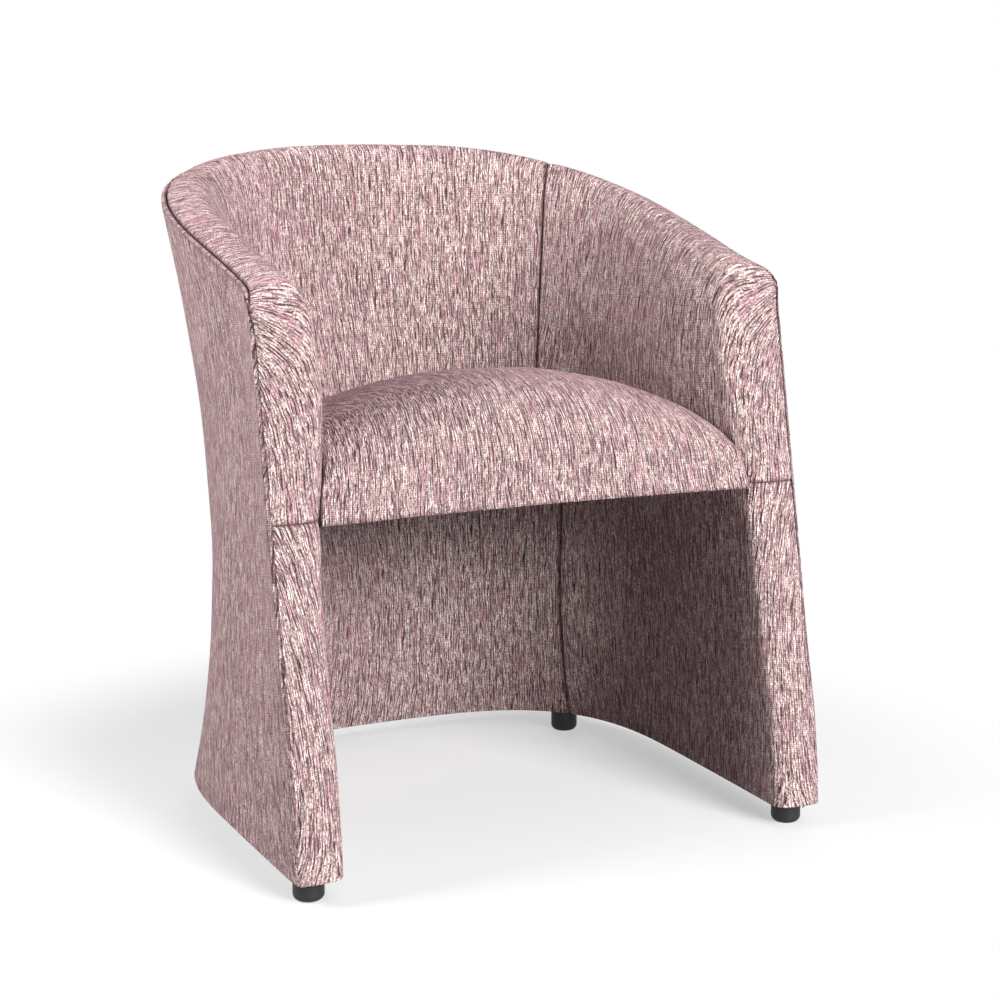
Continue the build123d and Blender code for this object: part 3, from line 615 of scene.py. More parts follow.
# %% [markdown]
# ## The outside panels
# Three flat-cut panels cover the outside: one round the back and one on each arm, joined over the
# rear posts. They are stretched over thin wadding, so they follow the form closely. At the top they go
# over the shoulder, and the rim seam lies a few millimetres in on the roll. Their lower edge turns
# under the base and is stapled there, which rounds it over.

# %% Sizes of the outside panels, mm
TURN_RADIUS, TURN_LENGTH = 2.0, 16.0          # the turned-under lower edge
STITCH_INSET = 8.5                            # topstitch beside the rim and front seams
STITCH_DIP, DIP_WIDTH, DIP_SHADE = 0.8, 1.6, 0.5   # the furrow that it presses into the cloth, and the share of painted shade in it
SEAM_OVER, SEAM_END = 6.0, 0.6                # the rim seam lies this far in on the roll; at the arm front
SEAM_RUN = 34.0                               # it runs out to the front over this length
ROW, SHOULDER_STEP = 7.0, 1.1                 # between the rows of a panel, and of its shoulder
SHOULDER, SHOULDER_ROUNDS = 12, 6             # rows that are smoothed, and how often
OUTSIDE_DROP = 640.0                          # rough height of the panels, which sets the rows
CORNER = 24.0                                 # near the arm's top front corner the seams are shallower
print("topstitch from the seam, mm:", STITCH_INSET)


# %% The turned-under edge and the furrow of the stitches
def turn_under(points, outward):
    """Add rows that round the lower edge and run inwards under the base, after the last row."""
    inwards = -normals_of(points)[-1] * outward
    inwards[:, 2] = 0
    inwards /= np.linalg.norm(inwards, axis=-1, keepdims=True)
    extra = [(TURN_RADIUS * (1 - cos(a)), BOTTOM + TURN_RADIUS * (1 - sin(a)))
             for a in np.radians((22.5, 45, 67.5, 90))]
    extra += [(TURN_LENGTH / 2, BOTTOM), (TURN_LENGTH, BOTTOM + 0.4)]
    rows = [points[-1] + inwards * inset for inset, _ in extra]
    for row, (_, height) in zip(rows, extra):
        row[:, 2] = height
    return np.concatenate([points, np.stack(rows)])


def dip(points, outward, edges):
    """The shallow furrow that a row of topstitches presses into the cloth beside some borders, and the
    painted shade in it."""
    normal, distances = normals_of(points) * outward, borders(points)
    near = np.min(np.stack([distances[index] for index in edges]), axis=0)
    furrow = np.exp(-(((near - STITCH_INSET) / DIP_WIDTH) ** 2))
    return points - normal * (STITCH_DIP * furrow)[..., None], furrow * DIP_SHADE


print("the cloth runs in under the base, mm:", TURN_LENGTH)


# %% The shoulder and the seam on it
def seam_in(way):
    """How far in on the roll the rim seam lies: it runs out to the corner at the arm front."""
    share = np.clip(behind_front(way) / SEAM_RUN, 0, 1)
    return SEAM_END + (SEAM_OVER - SEAM_END) * share * (2 - share)


def roll_height(way, depth):
    """Height of the roll's outer part at a depth from the outer cloth."""
    top = rim(way) + ROLL_RISE - nose(way)
    return top - (top - seam(way)) * (1 - depth / ROLL_IN) ** 2


print("rim seam in on the roll, mm:", [round(float(seam_in(way)), 1) for way in (3.0, 2.0)])


# %% An outside panel
def way_shares(start, end, length):
    """Shares along a panel that are even in distance on the surface."""
    tries = np.linspace(start, end, 400)
    run = lengths(spot(tries, 0, 400.0)[None], 1)[0]
    wanted = spaced(length, ROW) * run[-1]
    return (np.interp(wanted, run, tries) - start) / (end - start)


def outside(start, end, sewn, stitched, seed):
    """An outside panel between two ways: rows run from the rim seam over the shoulder and down."""
    rough = lengths(spot(np.linspace(start, end, 60), 0, 400.0)[None], 1)[0, -1]
    ways = (start + (end - start) * way_shares(start, end, rough))[None]
    top, down = seam(ways), spaced(OUTSIDE_DROP, ROW, True, False)[:, None]
    side = spot(ways, 0.0, top + (BOTTOM + TURN_RADIUS - top) * down)
    over = (1 - spaced(SEAM_OVER, SHOULDER_STEP, True, False)[:-1])[:, None] * seam_in(ways)
    points = np.concatenate([spot(ways, over, roll_height(ways, over)), side])
    for _ in range(SHOULDER_ROUNDS):
        above, below = points[:SHOULDER - 1], points[2:SHOULDER + 1]
        points[1:SHOULDER] = (above + 2 * points[1:SHOULDER] + below) / 4
    direction = np.gradient(points, axis=0)
    points, furrow = dip(uneven(points, -1, 0.9, seed), -1, stitched)
    narrow = np.ones(points.shape[:2])
    if end == 3.0:
        rows, _, _, columns = borders(points)
        narrow = np.clip(np.hypot(rows, columns) / CORNER - 0.1, 0, 1)
    points = turn_under(tuck(points, sewn, -1, fade=narrow), -1)
    added = len(points) - len(direction)
    direction = np.concatenate([direction, np.repeat(direction[-1:], added, axis=0)])
    furrow, narrow = (np.pad(grid, ((0, added), (0, 0)), mode="edge") for grid in (furrow, narrow))
    # the furrow's painted shade joins the seams' painted shade here
    points, direction, shade = hem(points, direction, sewn, -1, fade=narrow, furrow=furrow)
    return points, lay_threads(points, direction, shade)


print("rows down the outside:", len(spaced(OUTSIDE_DROP, ROW, True, False)))

# %% Make the outside panels
TOP, LAST = 0, 3                              # the first row and the last column, of a grid's borders
points, uv = outside(-OUTER_SEAM, OUTER_SEAM, (True, False, True, True), [TOP], 1)
outside_back = panel("outside_back", points, uv, -1, cloth)
points, uv = outside(OUTER_SEAM, 3.0, (True, False, True, True), [TOP, LAST], 2)
outside_arms = [panel(f"outside_arm_{side}", points, uv, -1, cloth, mirror)
                for side, mirror in (("right", False), ("left", True))]
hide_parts("outside_back_cover", "outer_wadding")
for piece, side in zip(outside_arms, ("right", "left")):
    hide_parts(f"outside_arm_cover_{side}")
print("outside back:", len(outside_back.data.polygons), "faces")

# %% [markdown]
# ## The inside panels and the roll
# The inside cloth starts at the rim seam, goes over the soft roll and down to the seat. On the arms it
# also turns round the front edge and covers the arm front, where a gusset would leave a seam: the
# photograph shows none, so the grid simply goes on, from the inner face round the nose and across the
# front to the outer seam, and shrinks to a point where that seam turns the corner.

# %% Sizes of the inside, mm
FACE_CROWN, FACE_WIDTH, FACE_STEP = 2.2, 50.0, 5.0   # padding, width and columns of the arm front
CLOSED, DECK_FADE = 45.0, 12.0                # behind the arm front, where the gap for the board begins
ROLL_STEP, ROLL_TURN = 6.0, np.radians(np.linspace(0, 90, 11))   # rows on the roll's top, then round it
INSIDE_DROP, LINING_DROP = 230.0, 340.0       # rough heights, which set the rows
ARM_RUN, BACK_RUN = 420.0, 470.0              # rough lengths, which set the columns
NOSE_COLUMNS = np.radians(np.linspace(90, 0, 9)[1:])
SOFT_SEAM = {"depth": 2.4, "width": 1.4, "pull": 0.8, "pucker": 0.45}
LOW_SEAM = {"depth": 2.0, "width": 1.4, "pull": 0.6, "pucker": 0.3}
FAN_CENTRE, FAN_REACH = (9.0, 6.0, 9.0), 45.0   # the threads fan from beyond the top outer corner
NARROW_FACE = 22.0                            # seams fade where the arm front is narrower
FOOT_OUT, FOOT_REACH = 0.8, 60.0              # the lining stands off the base ring at its foot
LEAN_LOW, LEAN_HIGH, LEAN_REACH = 0.04, 0.28, 30.0   # slant of the threads on the lower arm front
print("the seat board's gap begins behind the arm front, mm:", CLOSED)


# %% Sections of the inside
def over_roll(way, low):
    """Depths and heights from the rim seam over the roll and down the inner face, one row each."""
    draw = nose(way)
    top, foot = rim(way) + ROLL_RISE - draw, rim(way) - ROLL_DROP
    first = spaced(ROLL_IN - SEAM_OVER, ROLL_STEP, True, False)[:-1, None]
    first = seam_in(way) + (ROLL_IN - seam_in(way)) * first
    turn = ROLL_TURN[:-1, None]
    straight = foot + (low - foot) * spaced(INSIDE_DROP, ROW, False, True)[:, None]
    depths = [first, ROLL_IN + (wall(foot) - draw - ROLL_IN) * np.sin(turn), wall(straight) - draw]
    heights = [roll_height(way, first), foot + (top - foot) * np.cos(turn), straight]
    return np.concatenate(depths), np.concatenate(heights)


def arm_ways(start):
    """Ways along the arm, closer together round the nose."""
    along = start + (way_at(NOSE_RADIUS) - start) * way_shares(start, way_at(NOSE_RADIUS), ARM_RUN)
    return np.concatenate([along, way_at(NOSE_RADIUS * (1 - np.cos(NOSE_COLUMNS)))])


def closed_share(ways):
    """1 beside the arm front, where the panels meet in a seam, and 0 behind, where the board is."""
    return np.clip((CLOSED + DECK_FADE - behind_front(ways)) / DECK_FADE, 0, 1)


def across_front(edge, outer):
    """Columns of the arm front, from the nose's edge to the outer seam, slightly crowned."""
    share = spaced(FACE_WIDTH, FACE_STEP, False, True)[1:]
    columns = edge[:, None] + (outer - edge)[:, None] * share[None, :, None]
    width = np.linalg.norm(outer - edge, axis=-1)[:, None] / FACE_WIDTH
    columns[..., 1] -= FACE_CROWN * np.sin(pi * share[None]) ** 0.8 * np.clip(width, 0, 1)
    return columns


def inside_back():
    """The inside of the back, between the two inner seams."""
    ways = -INNER_SEAM + 2 * INNER_SEAM * way_shares(-INNER_SEAM, INNER_SEAM, BACK_RUN)
    depths, heights = over_roll(ways[None], DECK)
    points = spot(ways[None], depths, heights)
    direction = np.gradient(points, axis=0)
    points = uneven(points, 1, 1.6, 5)
    points = tuck(points, (True, False, False, False), 1)
    points = tuck(points, (False, False, True, True), 1, **SOFT_SEAM)
    points, direction, shade = hem(points, direction, (True, False, True, True), 1)
    return points, lay_threads(points, direction, shade)


print("rows round the roll:", len(ROLL_TURN))


# %% The inside of an arm with its front
def outer_edge(edge):
    """Where each row of the arm front ends: the outer seam, climbing to the corner with the rim."""
    run = lengths(edge[:, None], 0)[:, 0]
    below = edge[:, 2] <= RIM_FRONT - ROLL_DROP
    climb = edge[0, 2] + (RIM_FRONT - ROLL_DROP - edge[0, 2]) * run / run[np.argmax(below)]
    return spot(3.0, 0.0, np.where(below, edge[:, 2], climb))


def fanned(points, corner):
    """Thread directions that fan out from the corner on the arm front and cross the rim behind it."""
    fan = points - corner
    fan /= np.linalg.norm(fan, axis=-1, keepdims=True)
    across = np.gradient(points, axis=0)
    across /= np.maximum(np.linalg.norm(across, axis=-1, keepdims=True), 1e-9)
    distance = np.clip((points[..., 1] - front_y(points[..., 2])) / FAN_REACH, 0, 1)[..., None]
    share = distance * distance * (3 - 2 * distance)
    return fan * (1 - share) + across * share


def inside_arm():
    """The inside of an arm, from the inner seam round the nose and across the arm front."""
    ways = arm_ways(INNER_SEAM)
    low = DECK + (FACING_SEAM - DECK) * closed_share(ways)
    depths, heights = over_roll(ways[None], low[None])
    side = spot(ways[None], depths, heights)
    edge, outer = side[:, -1], outer_edge(side[:, -1])
    points = np.concatenate([side, across_front(edge, outer)], axis=1)
    direction = fanned(points, outer[0] + FAN_CENTRE)
    points = uneven(points, 1, 1.4, 6)
    narrow = np.ones(points.shape[:2])
    narrow[:, side.shape[1]:] = np.clip(np.linalg.norm(outer - edge, axis=-1) / NARROW_FACE, 0, 1)[:, None]
    points = tuck(points, (True, False, False, False), 1, fade=narrow)
    points = tuck(points, (False, False, True, False), 1, **SOFT_SEAM)
    points = tuck(points, (False, False, False, True), 1, pucker=0.15, fade=narrow)
    points = tuck(points, (False, True, False, False), 1, depth=1.4, width=1.2, pull=0.5, pucker=0.2)
    points, direction, shade = hem(points, direction, (True, FLAT_SEAM, True, True), 1, fade=narrow)
    return points, lay_threads(points, direction, shade)


print("arm fronts start at y, mm:", round(float(front_y(BOTTOM)), 1))


# %% The lining under the seat
def lining(start, end_at_front, seed):
    """The cloth on the inner face under the seat; on the arms it also covers the lower arm front."""
    if end_at_front:
        ways = arm_ways(start)
        top = SEAT_LINE + (FACING_SEAM - SEAT_LINE) * closed_share(ways)
    else:
        ways = -start + 2 * start * way_shares(-start, start, ARM_RUN)
        top = np.full(ways.shape, SEAT_LINE)
    down = spaced(LINING_DROP, ROW, True, False)[:, None]
    heights = top[None] + (BOTTOM + TURN_RADIUS - top[None]) * down
    foot = FOOT_OUT * np.exp(-(((heights - BOTTOM) / FOOT_REACH) ** 2))
    points = spot(ways[None], wall(heights) + foot - nose(ways)[None], heights)
    if end_at_front:
        edge = points[:, -1]
        points = np.concatenate([points, across_front(edge, spot(3.0, 0.0, edge[:, 2]))], axis=1)
    direction = np.gradient(points, axis=0)
    if end_at_front:
        front = np.clip(1 - (points[..., 1] - front_y(points[..., 2])) / LEAN_REACH, 0, 1)
        lean = LEAN_HIGH * np.clip((points[..., 2] - BOTTOM) / (FACING_SEAM - BOTTOM), 0, 1) + LEAN_LOW
        direction[..., 0] -= front * lean * np.linalg.norm(direction, axis=-1)
    points = uneven(points, 1, 0.8, seed)
    points = tuck(points, (False, False, True, not end_at_front), 1, **LOW_SEAM)
    if end_at_front:
        points = tuck(points, (True, False, False, False), 1, **{**LOW_SEAM, "width": 1.2})
        points = tuck(points, (False, False, False, True), 1)
    points = turn_under(points, 1)
    direction = np.concatenate([direction, np.repeat(direction[-1:], len(points) - len(direction), axis=0)])
    points, direction, shade = hem(points, direction, (FLAT_SEAM, False, True, True), 1)
    return points, lay_threads(points, direction, shade)


print("lining from", BOTTOM, "to", SEAT_LINE, "mm")

# %% Make the inside panels
points, uv = inside_back()
back_pad = panel("inside_back", points, uv, 1, cloth)
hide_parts("inside_back_cover", "back_foam")
points, uv = inside_arm()
for side, mirror in (("right", False), ("left", True)):
    arm_pad = panel(f"inside_arm_{side}", points, uv, 1, cloth, mirror)
    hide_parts(f"inside_arm_cover_{side}", f"arm_foam_{side}")
points, uv = lining(LINING_SEAM, False, 8)
lining_back = panel("lining_back", points, uv, 1, cloth)
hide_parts("lining_back_cover", "lining_back_foam")
points, uv = lining(LINING_SEAM, True, 9)
for side, mirror in (("right", False), ("left", True)):
    lining_side = panel(f"lining_side_{side}", points, uv, 1, cloth, mirror)
    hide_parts(f"lining_side_cover_{side}", f"lining_side_foam_{side}")
print("inside back:", len(back_pad.data.polygons), "faces")

# %% [markdown]
# ## The seat
# The seat is one thick pad: its cloth runs from the lower front edge up over a big soft nose and back
# across the crown, and its sides go down into the gap beside the arms. It starts as a closed grid a
# little smaller than the real seat. A short cloth simulation with air pressure then swells it against
# its held borders, which gives the crown the fullness that a formula alone lacks.

# %% Sizes of the seat, mm
SEAT_EDGE_HEIGHT, SEAT_CROWN, SEAT_SQUARE = 434.0, 58.0, 2.35   # sides, rise of the middle, squareness
SEAT_NOSE_HEIGHT, SEAT_NOSE_LENGTH = 400.0, 87.0   # the front rounds over above and behind this
SEAT_FALL, SEAT_FALL_LENGTH = 28.0, 200.0     # the crown falls to the back
SEAT_GAP, SEAT_ROLL, EDGE_ROLL = 0.4, 10.0, 0.8   # gap beside the arms, rounding of the top, of the front
ROLL_BELOW, ROLL_OVER = 15.0, 40.0            # the rounding grows from below the nose over this height
SIDE_FULL = 0.9                               # the sides stand out this much at the lower edge
SIDE_REST = 45.0                              # the rear rows fan out from this far in front of the curve
FRONT_ARCH, FLAP, FLAP_ROWS = 2.5, 35.0, 7    # rise of the front's lower edge, cloth turned under it
SEAT_INSET, SWELL_LIMIT = 3.0, 7.0            # the pad starts smaller and may swell this far
SEAT_WIDTH, SEAT_FAN, SEAT_STEP, SEAT_FINE = 470.0, 290.0, 6.5, 1.6   # rough sizes and steps of the grid
HALF_SEAT = ARM_FRONT_HALF - float(wall(SEAT_EDGE_HEIGHT))
NOSE_BACK = float(front_y(SEAT_NOSE_HEIGHT)) + SEAT_NOSE_LENGTH
print("half the seat's width, mm:", round(HALF_SEAT, 1))


# %% The seat's upper cloth
def crown_top(x, y):
    """Height of the seat's upper side."""
    top = SEAT_EDGE_HEIGHT + SEAT_CROWN * (1 - np.minimum(np.abs(x) / HALF_SEAT, 1.05) ** SEAT_SQUARE)
    return top - SEAT_INSET - SEAT_FALL * (np.clip(y - NOSE_BACK, 0, None) / SEAT_FALL_LENGTH) ** 2


def half_width(y, height):
    """Half the seat's width between the straight arms."""
    return spot(way_at(y - front_y(height)), wall(height), height)[0] - SEAT_GAP


def seat_rows():
    """Rows from the lower front edge to the back, with columns from side to side."""
    share = 2 * spaced(SEAT_WIDTH, SEAT_STEP, fine=SEAT_FINE) - 1
    arch = SEAT_LINE + FRONT_ARCH * (1 - share ** 2)
    rows = []
    for height in np.linspace(0, 1, 7)[:-1]:                        # up the flat front
        z = arch + (SEAT_NOSE_HEIGHT - arch) * height
        half = ARM_FRONT_HALF - wall(z) - SEAT_GAP + SIDE_FULL * (1 - height)
        rows.append(np.stack([share * half, front_y(z) + SEAT_INSET * height, z], -1))
    for turn in np.radians(np.linspace(0, 90, 23)):                 # over the nose
        y = NOSE_BACK - (SEAT_NOSE_LENGTH - SEAT_INSET) * cos(turn)
        edge = SEAT_NOSE_HEIGHT + (SEAT_EDGE_HEIGHT - SEAT_NOSE_HEIGHT) * sin(turn)
        x = share * half_width(y, edge)
        z = SEAT_NOSE_HEIGHT + (crown_top(x, NOSE_BACK) - SEAT_NOSE_HEIGHT) * sin(turn)
        rows.append(np.stack([x, np.full(x.shape, y), z], -1))
    for y in np.linspace(NOSE_BACK, CURVE_Y - SIDE_REST, 10)[1:]:   # back between the arms
        x = share * half_width(y, SEAT_EDGE_HEIGHT)
        rows.append(np.stack([x, np.full(x.shape, y), crown_top(x, y)], -1))
    front = rows[-1]
    rear = spot(share, wall(SEAT_EDGE_HEIGHT) + SEAT_GAP, SEAT_EDGE_HEIGHT)
    for step in spaced(SEAT_FAN, SEAT_STEP, False, True, fine=SEAT_FINE)[1:]:   # and out into the curve
        row = front + (rear - front) * step
        row[:, 2] = crown_top(row[:, 0], row[:, 1])
        rows.append(row)
    return np.stack(rows)


def rounded(points, outward, radius):
    """Round the pad over at its sides and back, which are all borders but the first."""
    near = np.min(np.stack(borders(points)[1:]), axis=0)
    left = np.clip(radius - near, 0, None) * 0.995
    move = np.sqrt(radius ** 2 - left ** 2) - radius
    return points + normals_of(points) * outward * move[..., None]


seat_top = seat_rows()
rounding = np.clip((seat_top[..., 2] - SEAT_NOSE_HEIGHT + ROLL_BELOW) / ROLL_OVER, 0, 1)
seat_top = rounded(seat_top, -1, EDGE_ROLL + (SEAT_ROLL - EDGE_ROLL) * rounding)
print("seat grid:", seat_top.shape[:2], "widest, mm:", round(float(2 * seat_top[..., 0].max()), 1))


# %% Close the seat below
def seat_bed(top):
    """The pad's underside: the cloth turned under the board, then the foam's flat lower side."""
    bed = top.copy()
    flap = np.linspace(0, FLAP, FLAP_ROWS)[1:, None]
    count = len(flap)
    bed[1:count + 1] = top[0]
    bed[1:count + 1, :, 1] += flap
    share = np.linspace(0, 1, len(top) - count - 1)[:, None]
    start = top[0, :, 1] + FLAP + 0.6
    bed[count + 1:, :, 1] = start + (top[-1, :, 1] - start) * share
    bed[count + 1:, :, 0] = top[0, :, 0] + (top[-1, :, 0] - top[0, :, 0]) * share ** 2
    bed[count + 1:, :, 2] = DECK + 4
    return bed


def closed_pad(top, bed):
    """Points and faces of the two grids, joined round their borders. They share the front edge, where
    a face that has one corner twice becomes a triangle."""
    index = np.arange(top[..., 0].size).reshape(top.shape[:2])
    under = index + index.size
    under[0] = index[0]
    faces = np.concatenate([
        squares(index[:-1, :-1], index[:-1, 1:], index[1:, 1:], index[1:, :-1]),
        squares(under[1:, :-1], under[1:, 1:], under[:-1, 1:], under[:-1, :-1]),
        squares(index[1:, 0], under[1:, 0], under[:-1, 0], index[:-1, 0]),
        squares(index[:-1, -1], under[:-1, -1], under[1:, -1], index[1:, -1]),
        squares(index[-1, 1:], under[-1, 1:], under[-1, :-1], index[-1, :-1])])
    points = np.concatenate([top.reshape(-1, 3), bed.reshape(-1, 3)])
    return points, [list(dict.fromkeys(face)) for face in faces.tolist()]


seat_points, seat_faces = closed_pad(seat_top, seat_bed(seat_top))
print("closed pad:", len(seat_points), "points")


# %% Swell the seat by air pressure
def swell(points, faces, free, limit, pressure=60.0, frames=20):
    """Let a closed mesh of cloth swell where it is free, each point moving no further than the limit."""
    mesh = bpy.data.meshes.new("swelling")
    mesh.from_pydata((points * MM).tolist(), [], faces)
    pad = bpy.data.objects.new("swelling", mesh)
    bpy.context.collection.objects.link(pad)
    held = pad.vertex_groups.new(name="held")
    for index, share in enumerate(free):
        held.add([index], 1 - share, "REPLACE")
    swelling = pad.modifiers.new("cloth", "CLOTH")
    settings = swelling.settings
    settings.quality, settings.mass, settings.air_damping = 6, 0.3, 2.0
    settings.tension_stiffness = settings.compression_stiffness = settings.shear_stiffness = 12
    settings.bending_stiffness = 1.5
    settings.use_pressure, settings.uniform_pressure_force = True, pressure
    settings.effector_weights.gravity = 0
    settings.vertex_group_mass = "held"
    swelling.point_cache.frame_start, swelling.point_cache.frame_end = 1, frames
    for step in range(1, frames + 1):
        bpy.context.scene.frame_set(step)
    shape = pad.evaluated_get(bpy.context.evaluated_depsgraph_get()).to_mesh()
    places = np.empty(len(shape.vertices) * 3)
    shape.vertices.foreach_get("co", places)
    bpy.context.scene.frame_set(1)
    bpy.data.objects.remove(pad)
    bpy.data.meshes.remove(mesh)
    move = places.reshape(-1, 3) / MM - points
    size = np.linalg.norm(move, axis=1, keepdims=True)
    return points + move * (limit * np.tanh(size / limit) / np.maximum(size, 1e-9))


HELD_BORDER, FREE_OVER = 8.0, 30.0            # mm, cloth held at the borders, and where it comes free
top_count = seat_top[..., 0].size
free = np.zeros(len(seat_points))
inside = np.min(np.stack(borders(seat_top)), axis=0)
free[:top_count] = np.clip((inside - HELD_BORDER) / FREE_OVER, 0, 1).ravel()
seat_points = swell(seat_points, seat_faces, free, SWELL_LIMIT)
seat_top = seat_points[:top_count].reshape(seat_top.shape)
print("seat top, mm:", round(float(seat_top[..., 2].max()), 1))

# %% Dress the seat
SIDE_SHADE = 1.8                              # mm, reach of the painted shade in the gap where the pad meets the arms
seat_top = uneven(seat_top, -1, 2.2, 11)
seat_points[:top_count] = seat_top.reshape(-1, 3)
# painted shade down the pad's sides, in the gap beside the arms, kept with the seams' painted shade
beside = np.exp(-((np.min(np.stack(borders(seat_top)[2:]), axis=0) / SIDE_SHADE) ** 2))
seat_uv = lay_threads(seat_top, -np.gradient(seat_top, axis=0), beside).reshape(-1, 3)
seat_pad = cloth_piece("seat_pad", seat_points, seat_faces, np.concatenate([seat_uv, seat_uv]), cloth)
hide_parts("seat_cover", "seat_foam")
print("seat pad:", len(seat_pad.data.polygons), "faces")

# %% [markdown]
# ## Black linings
# Two pieces of black spunbonded cloth close the chair from below: a ring under the base, which hides the
# turned-in edges and staples, and a sheet under the seat board. They are thin and hang a little between
# their staples, so each is a grid that is held at its border and sags a few millimetres.

# %% The ring under the base
LINING_CLOTH, LINING_GAP = 0.8, 0.1           # mm, thickness, and clearance to the base
RING_OUT, RING_IN, RING_SAG, STAPLE_WAVE = 8.0, 6.0, 1.0, 9.0   # insets from the faces; sag; its rhythm


def flat_sheet(name, points):
    """A thin sheet of lining cloth from a grid, with its outward side down."""
    outward = -1 if normals_of(points)[1, 1, 2] > 0 else 1
    return panel(name, points, points * (MM, MM, 0.0), outward, spunbond,
                 thickness=LINING_CLOTH)


def one_side(piece):
    """Area of one side of a thin panel, in square metres."""
    return sum(face.area for face in piece.data.polygons) / 2


ring_wall = float(wall(BOTTOM))
across = np.linspace(0, 1, 9)[:, None]
ring_ways = way_at(RING_IN) * np.linspace(-1, 1, 181)[None]
ring = spot(ring_ways, RING_OUT + (ring_wall - RING_IN - RING_OUT) * across, BOTTOM)
ring[..., 2] = BOTTOM - LINING_GAP - LINING_CLOTH
ring[..., 2] -= RING_SAG * np.sin(pi * across) * (0.5 + 0.5 * np.sin(lengths(ring, 1) / STAPLE_WAVE))
underside = flat_sheet("underside_cloth_ring", ring)
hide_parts("underside_cloth")
print("ring, m2:", round(one_side(underside), 4))

# %% The sheet under the seat board
DECK_FRONT, DECK_IN = 28.0, 0.5               # mm behind the arm front, and in from the inner face
DECK_GAP, DECK_SAG, SAG_REACH = 0.4, 3.5, 60.0   # mm


def straight_row(side, y, share):
    """A straight row of points between the arms."""
    return np.stack([share * side, np.full(share.shape, y), np.zeros(share.shape)], -1)


share, depth = np.linspace(-1, 1, 61), wall(SEAT_LINE) + DECK_IN
front_side, front, _ = spot(way_at(DECK_FRONT), depth, SEAT_LINE)
start = straight_row(front_side, front, share)
middle = straight_row(spot(1.0, depth, SEAT_LINE)[0], CURVE_Y, share)
rear = spot(share, depth, SEAT_LINE)
deck = np.stack([start + (middle - start) * min(2 * step, 1) + (rear - middle) * max(2 * step - 1, 0)
                 for step in np.linspace(0, 1, 41)])
# The heights so far only lengthen the way to the rear border; the sheet gets its real ones here.
to_border = np.min(np.stack(borders(deck)), axis=0)
deck[..., 2] = SEAT_LINE - DECK_GAP - DECK_SAG * (1 - np.exp(-to_border / SAG_REACH))
seat_lining = flat_sheet("seat_lining_sheet", deck)
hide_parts("seat_lining_cloth")
print("seat lining, m2:", round(one_side(seat_lining), 3))

# %% The flat sizes of the outside panels
print("outside panels, m2:", [round(one_side(piece), 3) for piece in (outside_back, *outside_arms)])

# %% [markdown]
# ## The topstitch
# A second row of stitches runs beside the rim seam and down beside the front seams. Each stitch is a
# short fat thread that lies in the furrow beside the seam. They repeat along a path, so a geometry-node
# tree places them: it divides the path evenly, sets one stitch on each point and turns it along
# the path.

# %% A tree that lays stitches along a line
STITCH_PITCH, STITCH_THREAD = 4.8, 0.52       # mm, from stitch to stitch, half the thread's thickness
BEAD_SEGMENTS, BEAD_RINGS, BEAD_STRETCH = 6, 5, 4.4   # a stitch is a small sphere, drawn out


def stitch_tree():
    """Even stitches along a curve."""
    tree = bpy.data.node_groups.new("stitches_along_a_line", "GeometryNodeTree")
    for name, kind in (("Line", "Geometry"), ("Pitch", "Float"), ("Thread", "Float"), ("Finish", "Material")):
        tree.interface.new_socket(name, in_out="INPUT", socket_type=f"NodeSocket{kind}")
    tree.interface.new_socket("Stitches", in_out="OUTPUT", socket_type="NodeSocketGeometry")
    given = tree.nodes.new("NodeGroupInput").outputs
    even = add(tree, "GeometryNodeResampleCurve", {"mode": "LENGTH"},
               {"Curve": given["Line"], "Length": given["Pitch"]})
    bead = add(tree, "GeometryNodeMeshUVSphere", {},
               {"Segments": BEAD_SEGMENTS, "Rings": BEAD_RINGS, "Radius": given["Thread"]})
    stitch = add(tree, "GeometryNodeTransform", {}, {"Geometry": bead, "Scale": (1.0, 1.0, BEAD_STRETCH)})
    tangent = add(tree, "GeometryNodeInputTangent", {}, {})
    turned = add(tree, "FunctionNodeAlignRotationToVector", {"axis": "Z"}, {"Vector": tangent})
    placed = add(tree, "GeometryNodeInstanceOnPoints", {},
                 {"Points": even, "Instance": stitch, "Rotation": turned})
    real = add(tree, "GeometryNodeRealizeInstances", {}, {"Geometry": placed})
    smooth = add(tree, "GeometryNodeSetShadeSmooth", {}, {"Geometry": real})
    done = add(tree, "GeometryNodeSetMaterial", {}, {"Geometry": smooth, "Material": given["Finish"]})
    tree.links.new(done, tree.nodes.new("NodeGroupOutput").inputs["Stitches"])
    return tree


def sewing_thread():
    """Bonded polyester thread, in the colour of the cloth's dark yarns: its twist, about 0.6 mm from
    one turn to the next, only dulls it a little."""
    material, tree, shader = finish("plum_sewing_thread", 0.6, Sheen_Weight=0.2)
    where = add(tree, "ShaderNodeTexCoord", {}, {}, "Object")
    twist = add(tree, "ShaderNodeTexWave", {"bands_direction": "DIAGONAL"},
                {"Vector": where, "Scale": 600.0}, "Fac")
    colour = add(tree, "ShaderNodeMix", COLOURS, {0: twist, 6: "#74505A", 7: "#94707B"}, MIXED)
    surface(tree, shader, colour, twist, 0.1)
    return material


stitches_tree, thread = stitch_tree(), sewing_thread()
print("stitch nodes:", len(stitches_tree.nodes))


# %% Sew the topstitch
RIM_SUNK, FRONT_SUNK = 0.8, 0.7               # mm, how deep the stitches lie in from the outer cloth
STITCH_END, WAY_FREE = 10.0, 0.005            # mm over the lower edge, and the way left free at a seam


